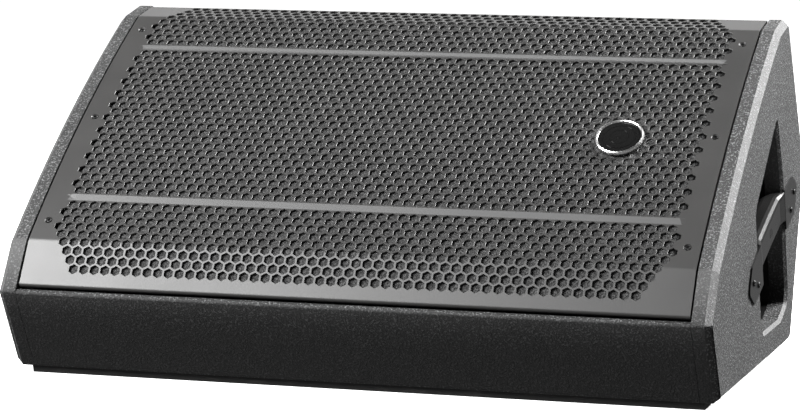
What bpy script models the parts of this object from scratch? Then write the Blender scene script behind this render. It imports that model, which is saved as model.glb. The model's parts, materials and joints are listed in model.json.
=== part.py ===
"""A stage monitor wedge: a low floor loudspeaker built from plywood panels between two shaped sides.

Everything is modelled in metres with +Z up. X runs across the width, the grille faces -Y and up,
and the origin is on the floor under the middle of the box. The cross-section is laid out in
millimetres as (depth, height) points, where depth grows towards the back and height starts at the
underside of the side panels.
"""
import math

import bmesh
import bpy
from mathutils import Matrix, Vector

# Driving dimensions, in millimetres.
HALF_WIDTH = 338.5          # cabinet centre to the outer face of a side panel
SIDE_THICKNESS = 18.0
BOARD = 15.0                # bottom, front, rear and top panels
BAFFLE_BOARD = 18.0
EDGE_CHAMFER = 6.0
SKID_HEIGHT = 7.0
GAP = 0.3                   # clearance between touching pieces
DEPTH_MIDDLE = 205.0        # depth of the bounding box's middle in the cross-section
LEFT, RIGHT = -1, 1

# The cross-section's corners, (depth, height).
FRONT_FOOT = Vector((32.0, 0.0))
NOSE = Vector((-8.0, 76.0))
LOWER_FOLD = Vector((21.0, 122.0))
UPPER_FOLD = Vector((285.0, 312.0))
TOP_REAR = Vector((328.0, 321.5))
REAR_SHOULDER = Vector((418.0, 168.0))
REAR_FOOT = Vector((357.0, 0.0))
FACE_SAGITTA = 9.0          # how far the long face bulges out of its chord
ARC_STEPS = 12

# The grille and what is behind it.
GRILLE_SHEET = 1.5
GRILLE_HALF_WIDTH = 318.5
LOWER_FLANGE = 44.0
UPPER_FLANGE = 35.0
LIP = 6.0
FOAM_SHEET = 4.5
FOAM_MARGIN = 8.0           # the foam stops this far short of each flange's end
BAFFLE_DEPTH = 30.0         # from the face's chord to the front of the baffle
GRILLE_SCREW_X = 306.5
GRILLE_SCREW_RUN = 139.0
GRILLE_SCREW_HEAD = 2.9     # radius
GRILLE_SCREW_SHANK = 1.5    # radius
GRILLE_SCREW_LENGTH = 13.0
BADGE_X = 218.0
BADGE_RUN = -7.0
BADGE_RADIUS = 23.2

# Drivers, placed by X and by the run up the baffle from its middle.
WOOFER_X = -135.0
BRACE_X = (9.0, 24.0)
BRACE_FRONT = 58.0
WOOFER_HOLE = 140.5
HORN_X = 160.0
HORN_RUN = 55.0
HORN_HALF_MOUTH = Vector((120.0, 68.0))
HORN_FLANGE_BORDER = 11.0
HORN_LENGTH = 90.0
PORT_RUN = -92.0
PORT_XS = (98.0, 222.0)
PORT_RADIUS = 30.0

# The side handles: an opening in the panel and a bar across it.
HANDLE_MIDDLE = Vector((256.0, 122.0))
HANDLE_TILT = math.radians(18.5)
HANDLE_BAR_HALF = 58.5
HANDLE_PLATE = 1.7          # thickness of the end plates
HANDLE_SCREW_HEAD = 3.0     # radius
HANDLE_SCREW_RISE = 1.6
HANDLE_SCREW_SPOTS = [Vector((80.0, -14.0)), Vector((98.0, -3.0))]
# Along the grip from its middle: run, half height, inner level, outer level.
GRIP_STATIONS = [(0.0, 16.8, -22.5, -0.8), (44.0, 16.5, -21.0, -0.6), (53.0, 16.0, -13.0, 1.0),
                 (HANDLE_BAR_HALF, 15.5, 0.6, GAP + HANDLE_PLATE)]
CUP_DEPTH = 56.0
CUP_WALL = 3.0

# The amplifier plate on the lower rear panel.
AMP_HALF = Vector((160.0, 62.0))
AMP_PLATE = 3.0
AMP_REBATE = 4.0
AMP_TRAY_DEPTH = 58.0


# --- vector and outline helpers -------------------------------------------------------------

def direction(start, end):
    return (end - start).normalized()


def left_of(vector):
    """The vector turned a quarter turn anticlockwise in (depth, height)."""
    return Vector((-vector.y, vector.x))


def crossing(point_a, along_a, point_b, along_b):
    """Where two lines of the cross-section meet."""
    cross = along_a.x * along_b.y - along_a.y * along_b.x
    offset = point_b - point_a
    return point_a + along_a * ((offset.x * along_b.y - offset.y * along_b.x) / cross)


def inset(outline, distance):
    """Move every edge of a closed outline to its left by a distance, with mitred corners."""
    moved = []
    count = len(outline)
    for index, corner in enumerate(outline):
        before = direction(outline[index - 1], corner)
        after = direction(corner, outline[(index + 1) % count])
        turn = 1.0 + before.dot(after)
        moved.append(corner + (left_of(before) + left_of(after)) * (distance / turn))
    return moved


def rounded(corner, before, after, radius, steps=4):
    """An arc that replaces one corner of an outline."""
    towards_before = direction(corner, before)
    towards_after = direction(corner, after)
    half = math.acos(max(-1.0, min(1.0, towards_before.dot(towards_after)))) / 2
    middle = corner + (towards_before + towards_after).normalized() * (radius / math.sin(half))
    start = corner + towards_before * (radius / math.tan(half)) - middle
    end = corner + towards_after * (radius / math.tan(half)) - middle
    sweep = math.atan2(start.x * end.y - start.y * end.x, start.dot(end))
    points = []
    for step in range(steps + 1):
        angle = sweep * step / steps
        cosine, sine = math.cos(angle), math.sin(angle)
        points.append(middle + Vector((start.x * cosine - start.y * sine,
                                       start.x * sine + start.y * cosine)))
    return points


def rounded_outline(corners, radii, steps=4):
    """A closed outline whose corners are rounded; a radius of 0 keeps the corner."""
    points = []
    count = len(corners)
    for index, corner in enumerate(corners):
        if radii[index] > 0:
            points += rounded(corner, corners[index - 1], corners[(index + 1) % count],
                              radii[index], steps)
        else:
            points.append(corner)
    return points


FACE_ALONG = direction(LOWER_FOLD, UPPER_FOLD)
FACE_OUT = left_of(FACE_ALONG)
FACE_MIDDLE = (LOWER_FOLD + UPPER_FOLD) / 2
FACE_LENGTH = (UPPER_FOLD - LOWER_FOLD).length
FACE_RADIUS = (FACE_LENGTH ** 2 / 4 + FACE_SAGITTA ** 2) / (2 * FACE_SAGITTA)
FACE_CENTRE = FACE_MIDDLE - FACE_OUT * (FACE_RADIUS - FACE_SAGITTA)
LOWER_FLANGE_ALONG = Vector((-0.506, -0.863)).normalized()
TOP_ALONG = direction(UPPER_FOLD, TOP_REAR)


def face_point(run, depth_below=0.0):
    """A point on the bulged face, at a run up its chord and a depth under the surface."""
    rise = math.sqrt(FACE_RADIUS ** 2 - run ** 2)
    outward = (FACE_ALONG * run + FACE_OUT * rise).normalized()
    return FACE_CENTRE + outward * (FACE_RADIUS - depth_below)


def face_curve(depth_below=0.0):
    """The long face from the lower fold to the upper fold."""
    half = FACE_LENGTH / 2
    return [face_point(-half + 2 * half * step / ARC_STEPS, depth_below)
            for step in range(ARC_STEPS + 1)]


def world(depth, height, x=0.0):
    """A cross-section point in metres."""
    return Vector((x, depth - DEPTH_MIDDLE, height + SKID_HEIGHT)) / 1000


def slab(outline, x):
    """An outline of the cross-section placed at one X."""
    return [world(point.x, point.y, x) for point in outline]


# --- mesh helpers ---------------------------------------------------------------------------

def material(name, colour, roughness, metallic=0.0):
    """One Principled material, made once and shared by name."""
    found = bpy.data.materials.get(name)
    if found:
        return found
    made = bpy.data.materials.new(name)
    made.use_nodes = True
    shader = made.node_tree.nodes["Principled BSDF"]
    shader.inputs["Base Color"].default_value = (*colour, 1.0)
    shader.inputs["Roughness"].default_value = roughness
    shader.inputs["Metallic"].default_value = metallic
    made.diffuse_color = (*colour, 1.0)
    return made


def paint():
    return material("textured_paint", (0.045, 0.045, 0.047), 0.6)


def steel():
    return material("powder_coated_steel", (0.08, 0.08, 0.078), 0.4, 0.3)


def moulding():
    return material("black_moulding", (0.018, 0.018, 0.018), 0.4)


def screw_steel():
    return material("blackened_screw", (0.05, 0.05, 0.05), 0.35, 0.9)


def soft_rubber():
    return material("black_rubber", (0.02, 0.02, 0.02), 0.8)


def bare_ply():
    return material("birch_plywood", (0.45, 0.32, 0.18), 0.7)


def finish(name, mesh_builder, surface, smooth=False):
    """Turn a bmesh into a named object with one material and outward faces."""
    bmesh.ops.recalc_face_normals(mesh_builder, faces=mesh_builder.faces)
    mesh = bpy.data.meshes.new(name)
    mesh_builder.to_mesh(mesh)
    mesh_builder.free()
    if smooth:
        mesh.shade_smooth()
        mesh.set_sharp_from_angle(angle=math.radians(35))
    mesh.materials.append(surface)
    made = bpy.data.objects.new(name, mesh)
    bpy.context.scene.collection.objects.link(made)
    return made


def loft(name, loops, surface, ring=False, smooth=False):
    """Bridge equal loops of points into one closed body, as a ring or with capped ends."""
    shape = bmesh.new()
    rows = [[shape.verts.new(point) for point in loop] for loop in loops]
    count = len(loops[0])
    pairs = list(zip(rows, rows[1:]))
    if ring:
        pairs.append((rows[-1], rows[0]))
    else:
        shape.faces.new(rows[0])
        shape.faces.new(rows[-1])
    for lower, upper in pairs:
        for index in range(count):
            following = (index + 1) % count
            shape.faces.new((lower[index], lower[following], upper[following], upper[index]))
    return finish(name, shape, surface, smooth)


def turned(name, profile, surface, steps=48):
    """A closed profile of (radius, height) points in millimetres turned about local Z."""
    shape = bmesh.new()
    columns = []
    for step in range(steps):
        angle = 2 * math.pi * step / steps
        column = []
        for index, (radius, height) in enumerate(profile):
            if radius == 0 and step > 0:
                column.append(columns[0][index])
            else:
                column.append(shape.verts.new(Vector((radius * math.cos(angle),
                                                      radius * math.sin(angle),
                                                      height)) / 1000))
        columns.append(column)
    count = len(profile)
    for step in range(steps):
        here, there = columns[step], columns[(step + 1) % steps]
        for index in range(count):
            following = (index + 1) % count
            corners = [here[index], there[index], there[following], here[following]]
            distinct = list(dict.fromkeys(corners))
            if len(distinct) > 2:
                shape.faces.new(distinct)
    return finish(name, shape, surface, smooth=True)


def block(name, low, high, surface):
    """A box between two corners given in millimetres."""
    outline = [(low[0], low[1]), (high[0], low[1]), (high[0], high[1]), (low[0], high[1])]
    loops = [[Vector((x, y, z)) / 1000 for x, y in outline] for z in (low[2], high[2])]
    return loft(name, loops, surface)


def cut(target, cutter):
    """Subtract a cutter, which stays as a hidden wire guide."""
    cutter.hide_render = True
    cutter.display_type = "WIRE"
    modifier = target.modifiers.new("cut " + cutter.name, "BOOLEAN")
    modifier.operation = "DIFFERENCE"
    modifier.object = cutter


def join(target, added):
    """Unite a helper shape with its target, leaving the helper as a hidden wire guide."""
    added.hide_render = True
    added.display_type = "WIRE"
    modifier = target.modifiers.new("join " + added.name, "BOOLEAN")
    modifier.operation = "UNION"
    modifier.object = added


def plane_matrix(x, origin, up, out):
    """A frame whose local Y runs along `up` and local Z along `out` in the cross-section."""
    along = Vector((0.0, up.x, up.y))
    outward = Vector((0.0, out.x, out.y))
    across = along.cross(outward)
    matrix = Matrix((across, along, outward)).transposed().to_4x4()
    matrix.translation = world(origin.x, origin.y, x)
    return matrix


def axis_empty(name, matrix):
    empty = bpy.data.objects.new(name, None)
    empty.empty_display_size = 0.03
    empty.matrix_world = matrix
    bpy.context.scene.collection.objects.link(empty)
    return empty


def attach(made, parent, location=(0.0, 0.0, 0.0), rotation=(0.0, 0.0, 0.0)):
    made.parent = parent
    made.location = Vector(location) / 1000
    made.rotation_euler = rotation
    return made


# --- the cabinet ----------------------------------------------------------------------------

def side_outline():
    """The side panel's outline, anticlockwise seen with depth to the right."""
    corners = [FRONT_FOOT, REAR_FOOT, REAR_SHOULDER, TOP_REAR] + face_curve()[::-1] + [NOSE]
    radii = [3.0, 15.0, 8.0, 12.0] + [0.0] * (ARC_STEPS + 1) + [3.0]
    return rounded_outline(corners, radii)


def opening_outline():
    """The arrow-shaped hand opening in a side panel."""
    corners = [Vector((223.0, 31.0)), Vector((303.0, 31.0)), Vector((333.0, 42.0)),
               Vector((335.0, 56.0)), Vector((306.0, 166.0)), Vector((275.0, 228.0)),
               Vector((181.0, 151.0)), Vector((213.0, 42.0))]
    return rounded_outline(corners, [5.0, 8.0, 6.0, 8.0, 25.0, 5.0, 12.0, 4.0], steps=3)


def side_panels():
    outline = side_outline()
    chamfered = inset(outline, EDGE_CHAMFER)
    opening = opening_outline()
    flared = inset(opening, -4.0)
    for side, word in ((LEFT, "left"), (RIGHT, "right")):
        inner = side * (HALF_WIDTH - SIDE_THICKNESS)
        shoulder = side * (HALF_WIDTH - EDGE_CHAMFER)
        outer = side * HALF_WIDTH
        panel = loft("side_panel_" + word,
                     [slab(outline, inner), slab(outline, shoulder), slab(chamfered, outer)],
                     paint())
        cutter = loft("hand_opening_" + word,
                      [slab(opening, inner - side), slab(opening, outer - side * 3.0),
                       slab(flared, outer + side)], paint())
        cut(panel, cutter)


def board(name, corners, surface, half_width=None, radii=None):
    """A panel that spans between the sides."""
    half = half_width or HALF_WIDTH - SIDE_THICKNESS - GAP
    outline = rounded_outline(corners, radii) if radii else corners
    return loft(name, [slab(outline, -half), slab(outline, half)], surface)


FRONT_UP = direction(FRONT_FOOT, NOSE)
FRONT_IN = -left_of(FRONT_UP)
REAR_UP = direction(REAR_FOOT, REAR_SHOULDER)
REAR_IN = left_of(REAR_UP)
SLOPE_UP = direction(REAR_SHOULDER, TOP_REAR)
SLOPE_IN = left_of(SLOPE_UP)
TOP_IN = -left_of(TOP_ALONG)
FLOOR_ALONG = Vector((1.0, 0.0))
TOP_DROP = LIP + 1.0            # from the grille's flange to the top board
BAFFLE_MIDDLE = FACE_MIDDLE - FACE_OUT * BAFFLE_DEPTH


def front_lower_panel():
    blunt = NOSE + FRONT_IN * 6.0
    inner = FRONT_FOOT + FRONT_IN * BOARD
    ledge = crossing(blunt, left_of(LOWER_FLANGE_ALONG), inner, FRONT_UP)
    heel = crossing(FRONT_FOOT, FLOOR_ALONG, inner, FRONT_UP)
    board("front_lower_panel", [FRONT_FOOT, heel, ledge, blunt, NOSE], paint(),
          radii=[3.0, 0.0, 0.0, 2.5, 2.5])


def bottom_panel():
    front_line = FRONT_FOOT + FRONT_IN * (BOARD + GAP)
    rear_line = REAR_FOOT + REAR_IN * (BOARD + GAP)
    corners = []
    for height in (0.0, BOARD):
        level = Vector((0.0, height))
        ends = [crossing(level, FLOOR_ALONG, front_line, FRONT_UP),
                crossing(level, FLOOR_ALONG, rear_line, REAR_UP)]
        corners += ends if height == 0.0 else ends[::-1]
    board("bottom_panel", corners, bare_ply())


def rear_mitre():
    """Outer and inner ends of the joint between the two rear panels."""
    inner = crossing(REAR_FOOT + REAR_IN * BOARD, REAR_UP, REAR_SHOULDER + SLOPE_IN * BOARD, SLOPE_UP)
    return REAR_SHOULDER, inner


def rear_lower_panel():
    outer, inner = rear_mitre()
    gap = REAR_UP * GAP
    foot = crossing(REAR_FOOT + REAR_IN * BOARD, REAR_UP, Vector((0.0, 0.0)), FLOOR_ALONG)
    return board("rear_lower_panel", [foot, REAR_FOOT, outer - gap, inner - gap], paint(),
                 radii=[0.0, 15.0, 0.0, 0.0])


def rear_upper_panel():
    outer, inner = rear_mitre()
    under_top = UPPER_FOLD + TOP_IN * (TOP_DROP + BOARD + GAP)
    outer_top = crossing(under_top, TOP_ALONG, REAR_SHOULDER, SLOPE_UP)
    inner_top = crossing(under_top, TOP_ALONG, REAR_SHOULDER + SLOPE_IN * BOARD, SLOPE_UP)
    board("rear_upper_panel", [outer, outer_top, inner_top, inner], paint())


def top_panel():
    upper = UPPER_FOLD + TOP_IN * TOP_DROP
    lower = upper + TOP_IN * BOARD
    front = upper + TOP_ALONG * 6.0
    rear_top = crossing(upper, TOP_ALONG, REAR_SHOULDER, SLOPE_UP)
    rear_low = crossing(lower, TOP_ALONG, REAR_SHOULDER, SLOPE_UP)
    board("top_panel", [front, front + TOP_IN * BOARD, rear_low, rear_top], paint(),
          radii=[0.0, 0.0, 0.0, 8.0])


def baffle_frame(x, run):
    """A frame on the front of the baffle, with local Z facing out of it."""
    return plane_matrix(x, BAFFLE_MIDDLE + FACE_ALONG * run, FACE_ALONG, FACE_OUT)


def baffle():
    back = BAFFLE_MIDDLE - FACE_OUT * BAFFLE_BOARD
    front_inner = FRONT_FOOT + FRONT_IN * (BOARD + GAP)
    under_top = UPPER_FOLD + TOP_IN * (TOP_DROP + BOARD + GAP)
    low_back = crossing(back, FACE_ALONG, front_inner, FRONT_UP)
    low_front = crossing(BAFFLE_MIDDLE, FACE_ALONG, front_inner, FRONT_UP)
    high_front = crossing(BAFFLE_MIDDLE, FACE_ALONG, under_top, TOP_ALONG)
    high_back = crossing(back, FACE_ALONG, high_front, FACE_OUT)
    made = board("baffle", [low_back, high_back, high_front, low_front], bare_ply())
    woofer_hole = turned("woofer_hole", [(0, -30), (WOOFER_HOLE, -30), (WOOFER_HOLE, 10), (0, 10)],
                         bare_ply(), steps=48)
    woofer_hole.matrix_world = baffle_frame(WOOFER_X, 0.0)
    cut(made, woofer_hole)
    reach = HORN_HALF_MOUTH + Vector((4.5, 4.5))
    horn_hole = loft("horn_hole", [super_loop(reach, 14.0, z) for z in (-30, 10)], bare_ply())
    horn_hole.matrix_world = baffle_frame(HORN_X, HORN_RUN)
    cut(made, horn_hole)
    for index, x in enumerate(PORT_XS, start=1):
        radius = PORT_RADIUS + 3.3
        hole = turned("port_hole_%d" % index, [(0, -30), (radius, -30), (radius, 10), (0, 10)],
                      bare_ply(), steps=32)
        hole.matrix_world = baffle_frame(x, PORT_RUN)
        cut(made, hole)


def brace_outline(margin):
    """The space between floor, baffle and amplifier tray, shrunk by a margin."""
    front = Vector((BRACE_FRONT + margin, 0.0))
    rear = REAR_FOOT + REAR_IN * (AMP_TRAY_DEPTH + 4.0 + margin)
    slope = REAR_SHOULDER + SLOPE_IN * (BOARD + margin)
    back = BAFFLE_MIDDLE - FACE_OUT * (BAFFLE_BOARD + margin)
    floor = Vector((0.0, BOARD + margin))
    upright = Vector((0.0, 1.0))
    return [crossing(floor, FLOOR_ALONG, front, upright),
            crossing(floor, FLOOR_ALONG, rear, REAR_UP),
            crossing(rear, REAR_UP, slope, SLOPE_UP),
            crossing(slope, SLOPE_UP, back, FACE_ALONG),
            crossing(front, upright, back, FACE_ALONG)]


def brace():
    """A window brace from floor to baffle between the woofer and the horn."""
    outer = brace_outline(GAP)
    inner = brace_outline(38.0)
    near, far = BRACE_X
    loft("window_brace", [slab(outer, near), slab(outer, far), slab(inner, far), slab(inner, near)],
         bare_ply(), ring=True)


def wadding():
    """A damping blanket on the inside of the upper rear panel."""
    top = REAR_SHOULDER + SLOPE_UP * 132.0
    low = REAR_SHOULDER + SLOPE_UP * 22.0
    near, far = SLOPE_IN * (BOARD + GAP), SLOPE_IN * (BOARD + 22.0)
    fibre = material("grey_wadding", (0.3, 0.3, 0.3), 0.95)
    outline = [low + near, top + near, top + far, low + far]
    loft("damping_blanket", [slab(outline, x) for x in (-305.0, BRACE_X[0] - 4.0)], fibre)


def skids():
    """Rubber strips along the front and rear of the underside."""
    half = HALF_WIDTH - 14.5
    for name, start in (("skid_front", 35.0), ("skid_rear", 312.0)):
        corners = [Vector((start + 2.0, -SKID_HEIGHT)), Vector((start + 26.0, -SKID_HEIGHT)),
                   Vector((start + 28.0, -GAP)), Vector((start, -GAP))]
        board(name, corners, soft_rubber(), half_width=half)


# --- the side handles -----------------------------------------------------------------------

def handle_frame(side):
    """Local X along the bar, Y up across it and Z out of the side panel."""
    along = Vector((0.0, math.cos(HANDLE_TILT), math.sin(HANDLE_TILT))) * side
    outward = Vector((float(side), 0.0, 0.0))
    matrix = Matrix((along, outward.cross(along), outward)).transposed().to_4x4()
    matrix.translation = world(HANDLE_MIDDLE.x, HANDLE_MIDDLE.y, side * HALF_WIDTH)
    return matrix


def grip_section(run, half_height, low, high):
    """One rounded section of the grip, across local Y and Z."""
    corners = [Vector((half_height, low)), Vector((half_height, high)),
               Vector((-half_height, high)), Vector((-half_height, low))]
    ring = rounded_outline(corners, [0.3 * (high - low)] * 4, steps=3)
    return [Vector((run, point.x, point.y)) / 1000 for point in ring]


def flange_outline(end):
    """The tapered plate at one end of a handle, in local X and Y."""
    corners = [Vector((end * run, height)) for run, height in
               ((HANDLE_BAR_HALF - 1.0, -25.0), (98.0, -25.5), (117.0, -5.0), (99.0, 13.0),
                (HANDLE_BAR_HALF - 1.0, 17.0))]
    return rounded_outline(corners, [2.0, 5.0, 6.0, 5.0, 2.0], steps=3)


def handles():
    stations = [(-run, half, low, high) for run, half, low, high in reversed(GRIP_STATIONS[1:])]
    stations += GRIP_STATIONS
    plate_levels = (GAP, GAP + HANDLE_PLATE)
    head_foot = GAP + HANDLE_PLATE + GAP
    head_top = head_foot + HANDLE_SCREW_RISE
    head = [(0, head_foot), (HANDLE_SCREW_HEAD, head_foot), (HANDLE_SCREW_HEAD, head_foot + 0.6),
            (HANDLE_SCREW_HEAD * 0.6, head_top - 0.2), (0, head_top)]
    for side, word in ((LEFT, "left"), (RIGHT, "right")):
        frame = axis_empty("handle_axis_" + word, handle_frame(side))
        grip = loft("handle_" + word, [grip_section(*station) for station in stations], moulding(),
                    smooth=True)
        attach(grip, frame)
        number = 0
        for end, end_word in ((-1, "first"), (1, "second")):
            outline = flange_outline(end)
            plate = loft("handle_plate_%s_%s" % (word, end_word),
                         [[Vector((point.x, point.y, z)) / 1000 for point in outline]
                          for z in plate_levels], moulding())
            attach(plate, frame)
            join(grip, plate)
            for spot in HANDLE_SCREW_SPOTS:
                number += 1
                screw = turned("handle_screw_%s_%d" % (word, number), head, screw_steel(), steps=20)
                attach(screw, frame, (end * spot.x, spot.y, 0.0))


def handle_cups():
    """A closed pocket behind each hand opening keeps the cabinet sealed."""
    clear = inset(opening_outline(), -0.6)
    wall = inset(clear, -CUP_WALL)
    rim = inset(clear, -9.0)
    mouth = HALF_WIDTH - SIDE_THICKNESS - GAP
    for side, word in ((LEFT, "left"), (RIGHT, "right")):
        levels = [(clear, mouth - CUP_DEPTH + CUP_WALL), (clear, mouth), (rim, mouth),
                  (rim, mouth - CUP_WALL), (wall, mouth - CUP_WALL), (wall, mouth - CUP_DEPTH)]
        loft("handle_cup_" + word, [slab(outline, side * x) for outline, x in levels], moulding())


# --- the grille -----------------------------------------------------------------------------

def grille_surface(depth_below):
    """The grille's cross-section from the lower lip to the upper lip, one skin."""
    lower_in = left_of(LOWER_FLANGE_ALONG)
    lower_end = LOWER_FOLD + LOWER_FLANGE_ALONG * LOWER_FLANGE
    upper_end = UPPER_FOLD + TOP_ALONG * UPPER_FLANGE
    lower_run = LOWER_FLANGE_ALONG * depth_below
    upper_run = TOP_ALONG * depth_below
    lip_in = lower_end + lower_in * LIP
    lip_out = upper_end + TOP_IN * LIP
    points = [lip_in - lower_run, lower_end - lower_run + lower_in * depth_below]
    points += face_curve(depth_below)
    points += [upper_end - upper_run + TOP_IN * depth_below, lip_out - upper_run]
    return points


def grille():
    outer = grille_surface(0.0)
    inner = grille_surface(GRILLE_SHEET)
    made = board("grille", outer + inner[::-1], steel(), half_width=GRILLE_HALF_WIDTH)
    return made


def foam_skin(depth_below):
    """The face and most of both flanges, at a depth under the grille's outer surface."""
    lower_end = LOWER_FOLD + LOWER_FLANGE_ALONG * (LOWER_FLANGE - FOAM_MARGIN)
    upper_end = UPPER_FOLD + TOP_ALONG * (UPPER_FLANGE - FOAM_MARGIN)
    face = face_curve(depth_below)
    lower_corner = crossing(lower_end + left_of(LOWER_FLANGE_ALONG) * depth_below,
                            LOWER_FLANGE_ALONG, face[0], face[1] - face[0])
    upper_corner = crossing(upper_end + TOP_IN * depth_below, TOP_ALONG, face[-1],
                            face[-1] - face[-2])
    return ([lower_end + left_of(LOWER_FLANGE_ALONG) * depth_below, lower_corner] + face[1:-1]
            + [upper_corner, upper_end + TOP_IN * depth_below])


def foam():
    half = GRILLE_HALF_WIDTH - 20.8
    skins = [foam_skin(GRILLE_SHEET + GAP), foam_skin(GRILLE_SHEET + GAP + FOAM_SHEET)]
    cloth = material("black_foam", (0.03, 0.03, 0.03), 0.95)
    board("grille_foam", skins[0] + skins[1][::-1], cloth, half_width=half)


def rails():
    """Battens on the baffle that the grille is screwed to."""
    made = []
    near = face_curve(GRILLE_SHEET + GAP)[1:-1]
    foot = BAFFLE_MIDDLE + FACE_OUT * GAP
    ends = [crossing(near[-1], FACE_OUT, foot, FACE_ALONG),
            crossing(near[0], FACE_OUT, foot, FACE_ALONG)]
    for side, word in ((LEFT, "left"), (RIGHT, "right")):
        loops = [slab(near + ends, side * x) for x in (299.0, HALF_WIDTH - SIDE_THICKNESS - GAP)]
        made.append(loft("grille_rail_" + word, loops, bare_ply()))
    return made


def grille_fixings(sheet, battens):
    """Countersunk screws through the grille's plain margins into the battens."""
    number = 0
    tip = GRILLE_SCREW_LENGTH
    clear, shank, head = GRILLE_SCREW_SHANK + 0.4, GRILLE_SCREW_SHANK, GRILLE_SCREW_HEAD
    hole_profile = [(0, -tip - 1), (clear, -tip - 1), (clear, -1.8), (head + 0.4, -1.8),
                    (head + 0.4, 2), (0, 2)]
    screw_profile = [(0, -tip), (shank, -tip), (shank, -1.4), (head, -1.4), (head, -0.3),
                     (head - 0.6, 0.1), (0, 0.2)]
    for side, batten in ((LEFT, battens[0]), (RIGHT, battens[1])):
        for run in (-GRILLE_SCREW_RUN, 0.0, GRILLE_SCREW_RUN):
            number += 1
            surface_point = face_point(run)
            outward = (surface_point - FACE_CENTRE).normalized()
            frame = plane_matrix(side * GRILLE_SCREW_X, surface_point, -left_of(outward), outward)
            hole = turned("grille_screw_hole_%d" % number, hole_profile, steel(), steps=16)
            hole.matrix_world = frame
            cut(sheet, hole)
            cut(batten, hole)
            screw = turned("grille_screw_%d" % number, screw_profile, screw_steel(), steps=16)
            screw.matrix_world = frame


def badge():
    """A chromed ring with a gloss black disc that can be turned upright."""
    surface_point = face_point(BADGE_RUN)
    outward = (surface_point - FACE_CENTRE).normalized()
    frame = axis_empty("badge_axis", plane_matrix(BADGE_X, surface_point, -left_of(outward), outward))
    chrome = material("badge_chrome", (0.7, 0.7, 0.7), 0.12, 1.0)
    gloss = material("badge_gloss", (0.01, 0.01, 0.01), 0.1)
    inner = BADGE_RADIUS - 3.0
    ring = turned("badge_ring", [(inner, 0.5), (BADGE_RADIUS - 0.4, 0.5), (BADGE_RADIUS, 2.0),
                                 (BADGE_RADIUS - 0.6, 3.4), (BADGE_RADIUS - 1.6, 3.9),
                                 (inner + 0.4, 3.4), (inner, 2.6)], chrome, steps=40)
    attach(ring, frame)
    disc = turned("badge_disc", [(0, 0.5), (inner - GAP, 0.5), (inner - GAP, 2.2),
                                 (inner * 0.6, 2.9), (0, 3.2)], gloss, steps=40)
    attach(disc, frame)


# --- the woofer, horn and ports -------------------------------------------------------------

def woofer():
    frame = axis_empty("woofer_axis", baffle_frame(WOOFER_X, 0.0))
    cast = material("cast_aluminium", (0.09, 0.09, 0.09), 0.5, 0.6)
    paper = material("pulp_paper", (0.03, 0.03, 0.032), 0.85)
    ferrite = material("plated_magnet", (0.12, 0.12, 0.12), 0.35, 0.7)
    parts = [
        turned("woofer_basket", basket_profile(), cast),
        turned("woofer_magnet", [(0, -112), (78, -112), (80, -110), (80, -73.5), (29.5, -73.5),
                                 (29.5, -106), (24, -106), (24, -71), (0, -71)], ferrite),
        turned("woofer_surround", surround_profile(), soft_rubber(), steps=40),
        turned("woofer_spider", spider_profile(), material("spider_cloth", (0.35, 0.22, 0.08), 0.9),
               steps=32),
        turned("woofer_cone", [(112, 0.0), (111, 1.0), (28.4, -40.0), (28.4, -43.0), (31, -43.0)], paper),
        turned("woofer_dust_cap", dust_cap_profile(), paper, steps=32),
        turned("woofer_voice_coil", [(25.6, -97), (27.6, -97), (27.6, -44), (25.6, -44)],
               material("coil_former", (0.4, 0.18, 0.06), 0.5), steps=32),
    ]
    for made in parts:
        attach(made, frame)


def basket_profile():
    """Flange, conical wall and back plate of the frame, as one turned outline."""
    outer = [(153, GAP), (153, 4.2), (127, 4.2), (127, -3.0)]
    inner = [(84.5, -52.0), (84.5, -56.5), (66, -70.0), (31, -70.0)]
    back = [(31, -73.2), (68, -73.2), (88, -57.0), (139.5, -6.0), (139.5, GAP)]
    return outer + inner + back


def surround_profile():
    """The half-roll between the cone and the frame."""
    roll = [(119.3 + 6.3 * math.cos(angle), 1.6 + 6.3 * math.sin(angle))
            for angle in [math.pi * step / 6 for step in range(7)]]
    under = [(119.3 + 5.3 * math.cos(angle), 1.6 + 5.3 * math.sin(angle))
             for angle in [math.pi * (6 - step) / 6 for step in range(7)]]
    return [(126.6, 1.6)] + roll[1:-1] + [(112.4, 1.6), (112.4, 0.6)] + under[1:-1] + [(126.6, 0.6)]


def spider_profile():
    """A corrugated disc round the voice coil."""
    steps = 8
    upper = []
    for step in range(steps + 1):
        radius = 28.0 + (84.0 - 28.0) * step / steps
        upper.append((radius, -54.0 + (1.2 if step % 2 else -1.2)))
    lower = [(radius, height - 0.8) for radius, height in upper[::-1]]
    return upper + lower


def dust_cap_profile():
    """A shallow dome on the cone, hollow behind."""
    steps = 5
    rim_radius, rim_height, rise = 38.0, -33.6, 9.0
    dome = []
    for step in range(steps + 1):
        share = step / steps
        dome.append((rim_radius * (1 - share), rim_height + rise * (1 - (1 - share) ** 2)))
    inside = [(max(radius - 1.0, 0.0), height - 1.0) for radius, height in dome[::-1]]
    return dome + inside


def super_loop(half, corner, z, steps=4):
    """A rectangle with rounded corners round local Z, as a loop of points in metres."""
    corners = [Vector((half.x, -half.y)), Vector((half.x, half.y)),
               Vector((-half.x, half.y)), Vector((-half.x, -half.y))]
    return [Vector((point.x, point.y, z)) / 1000
            for point in rounded_outline(corners, [corner] * 4, steps)]


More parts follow.
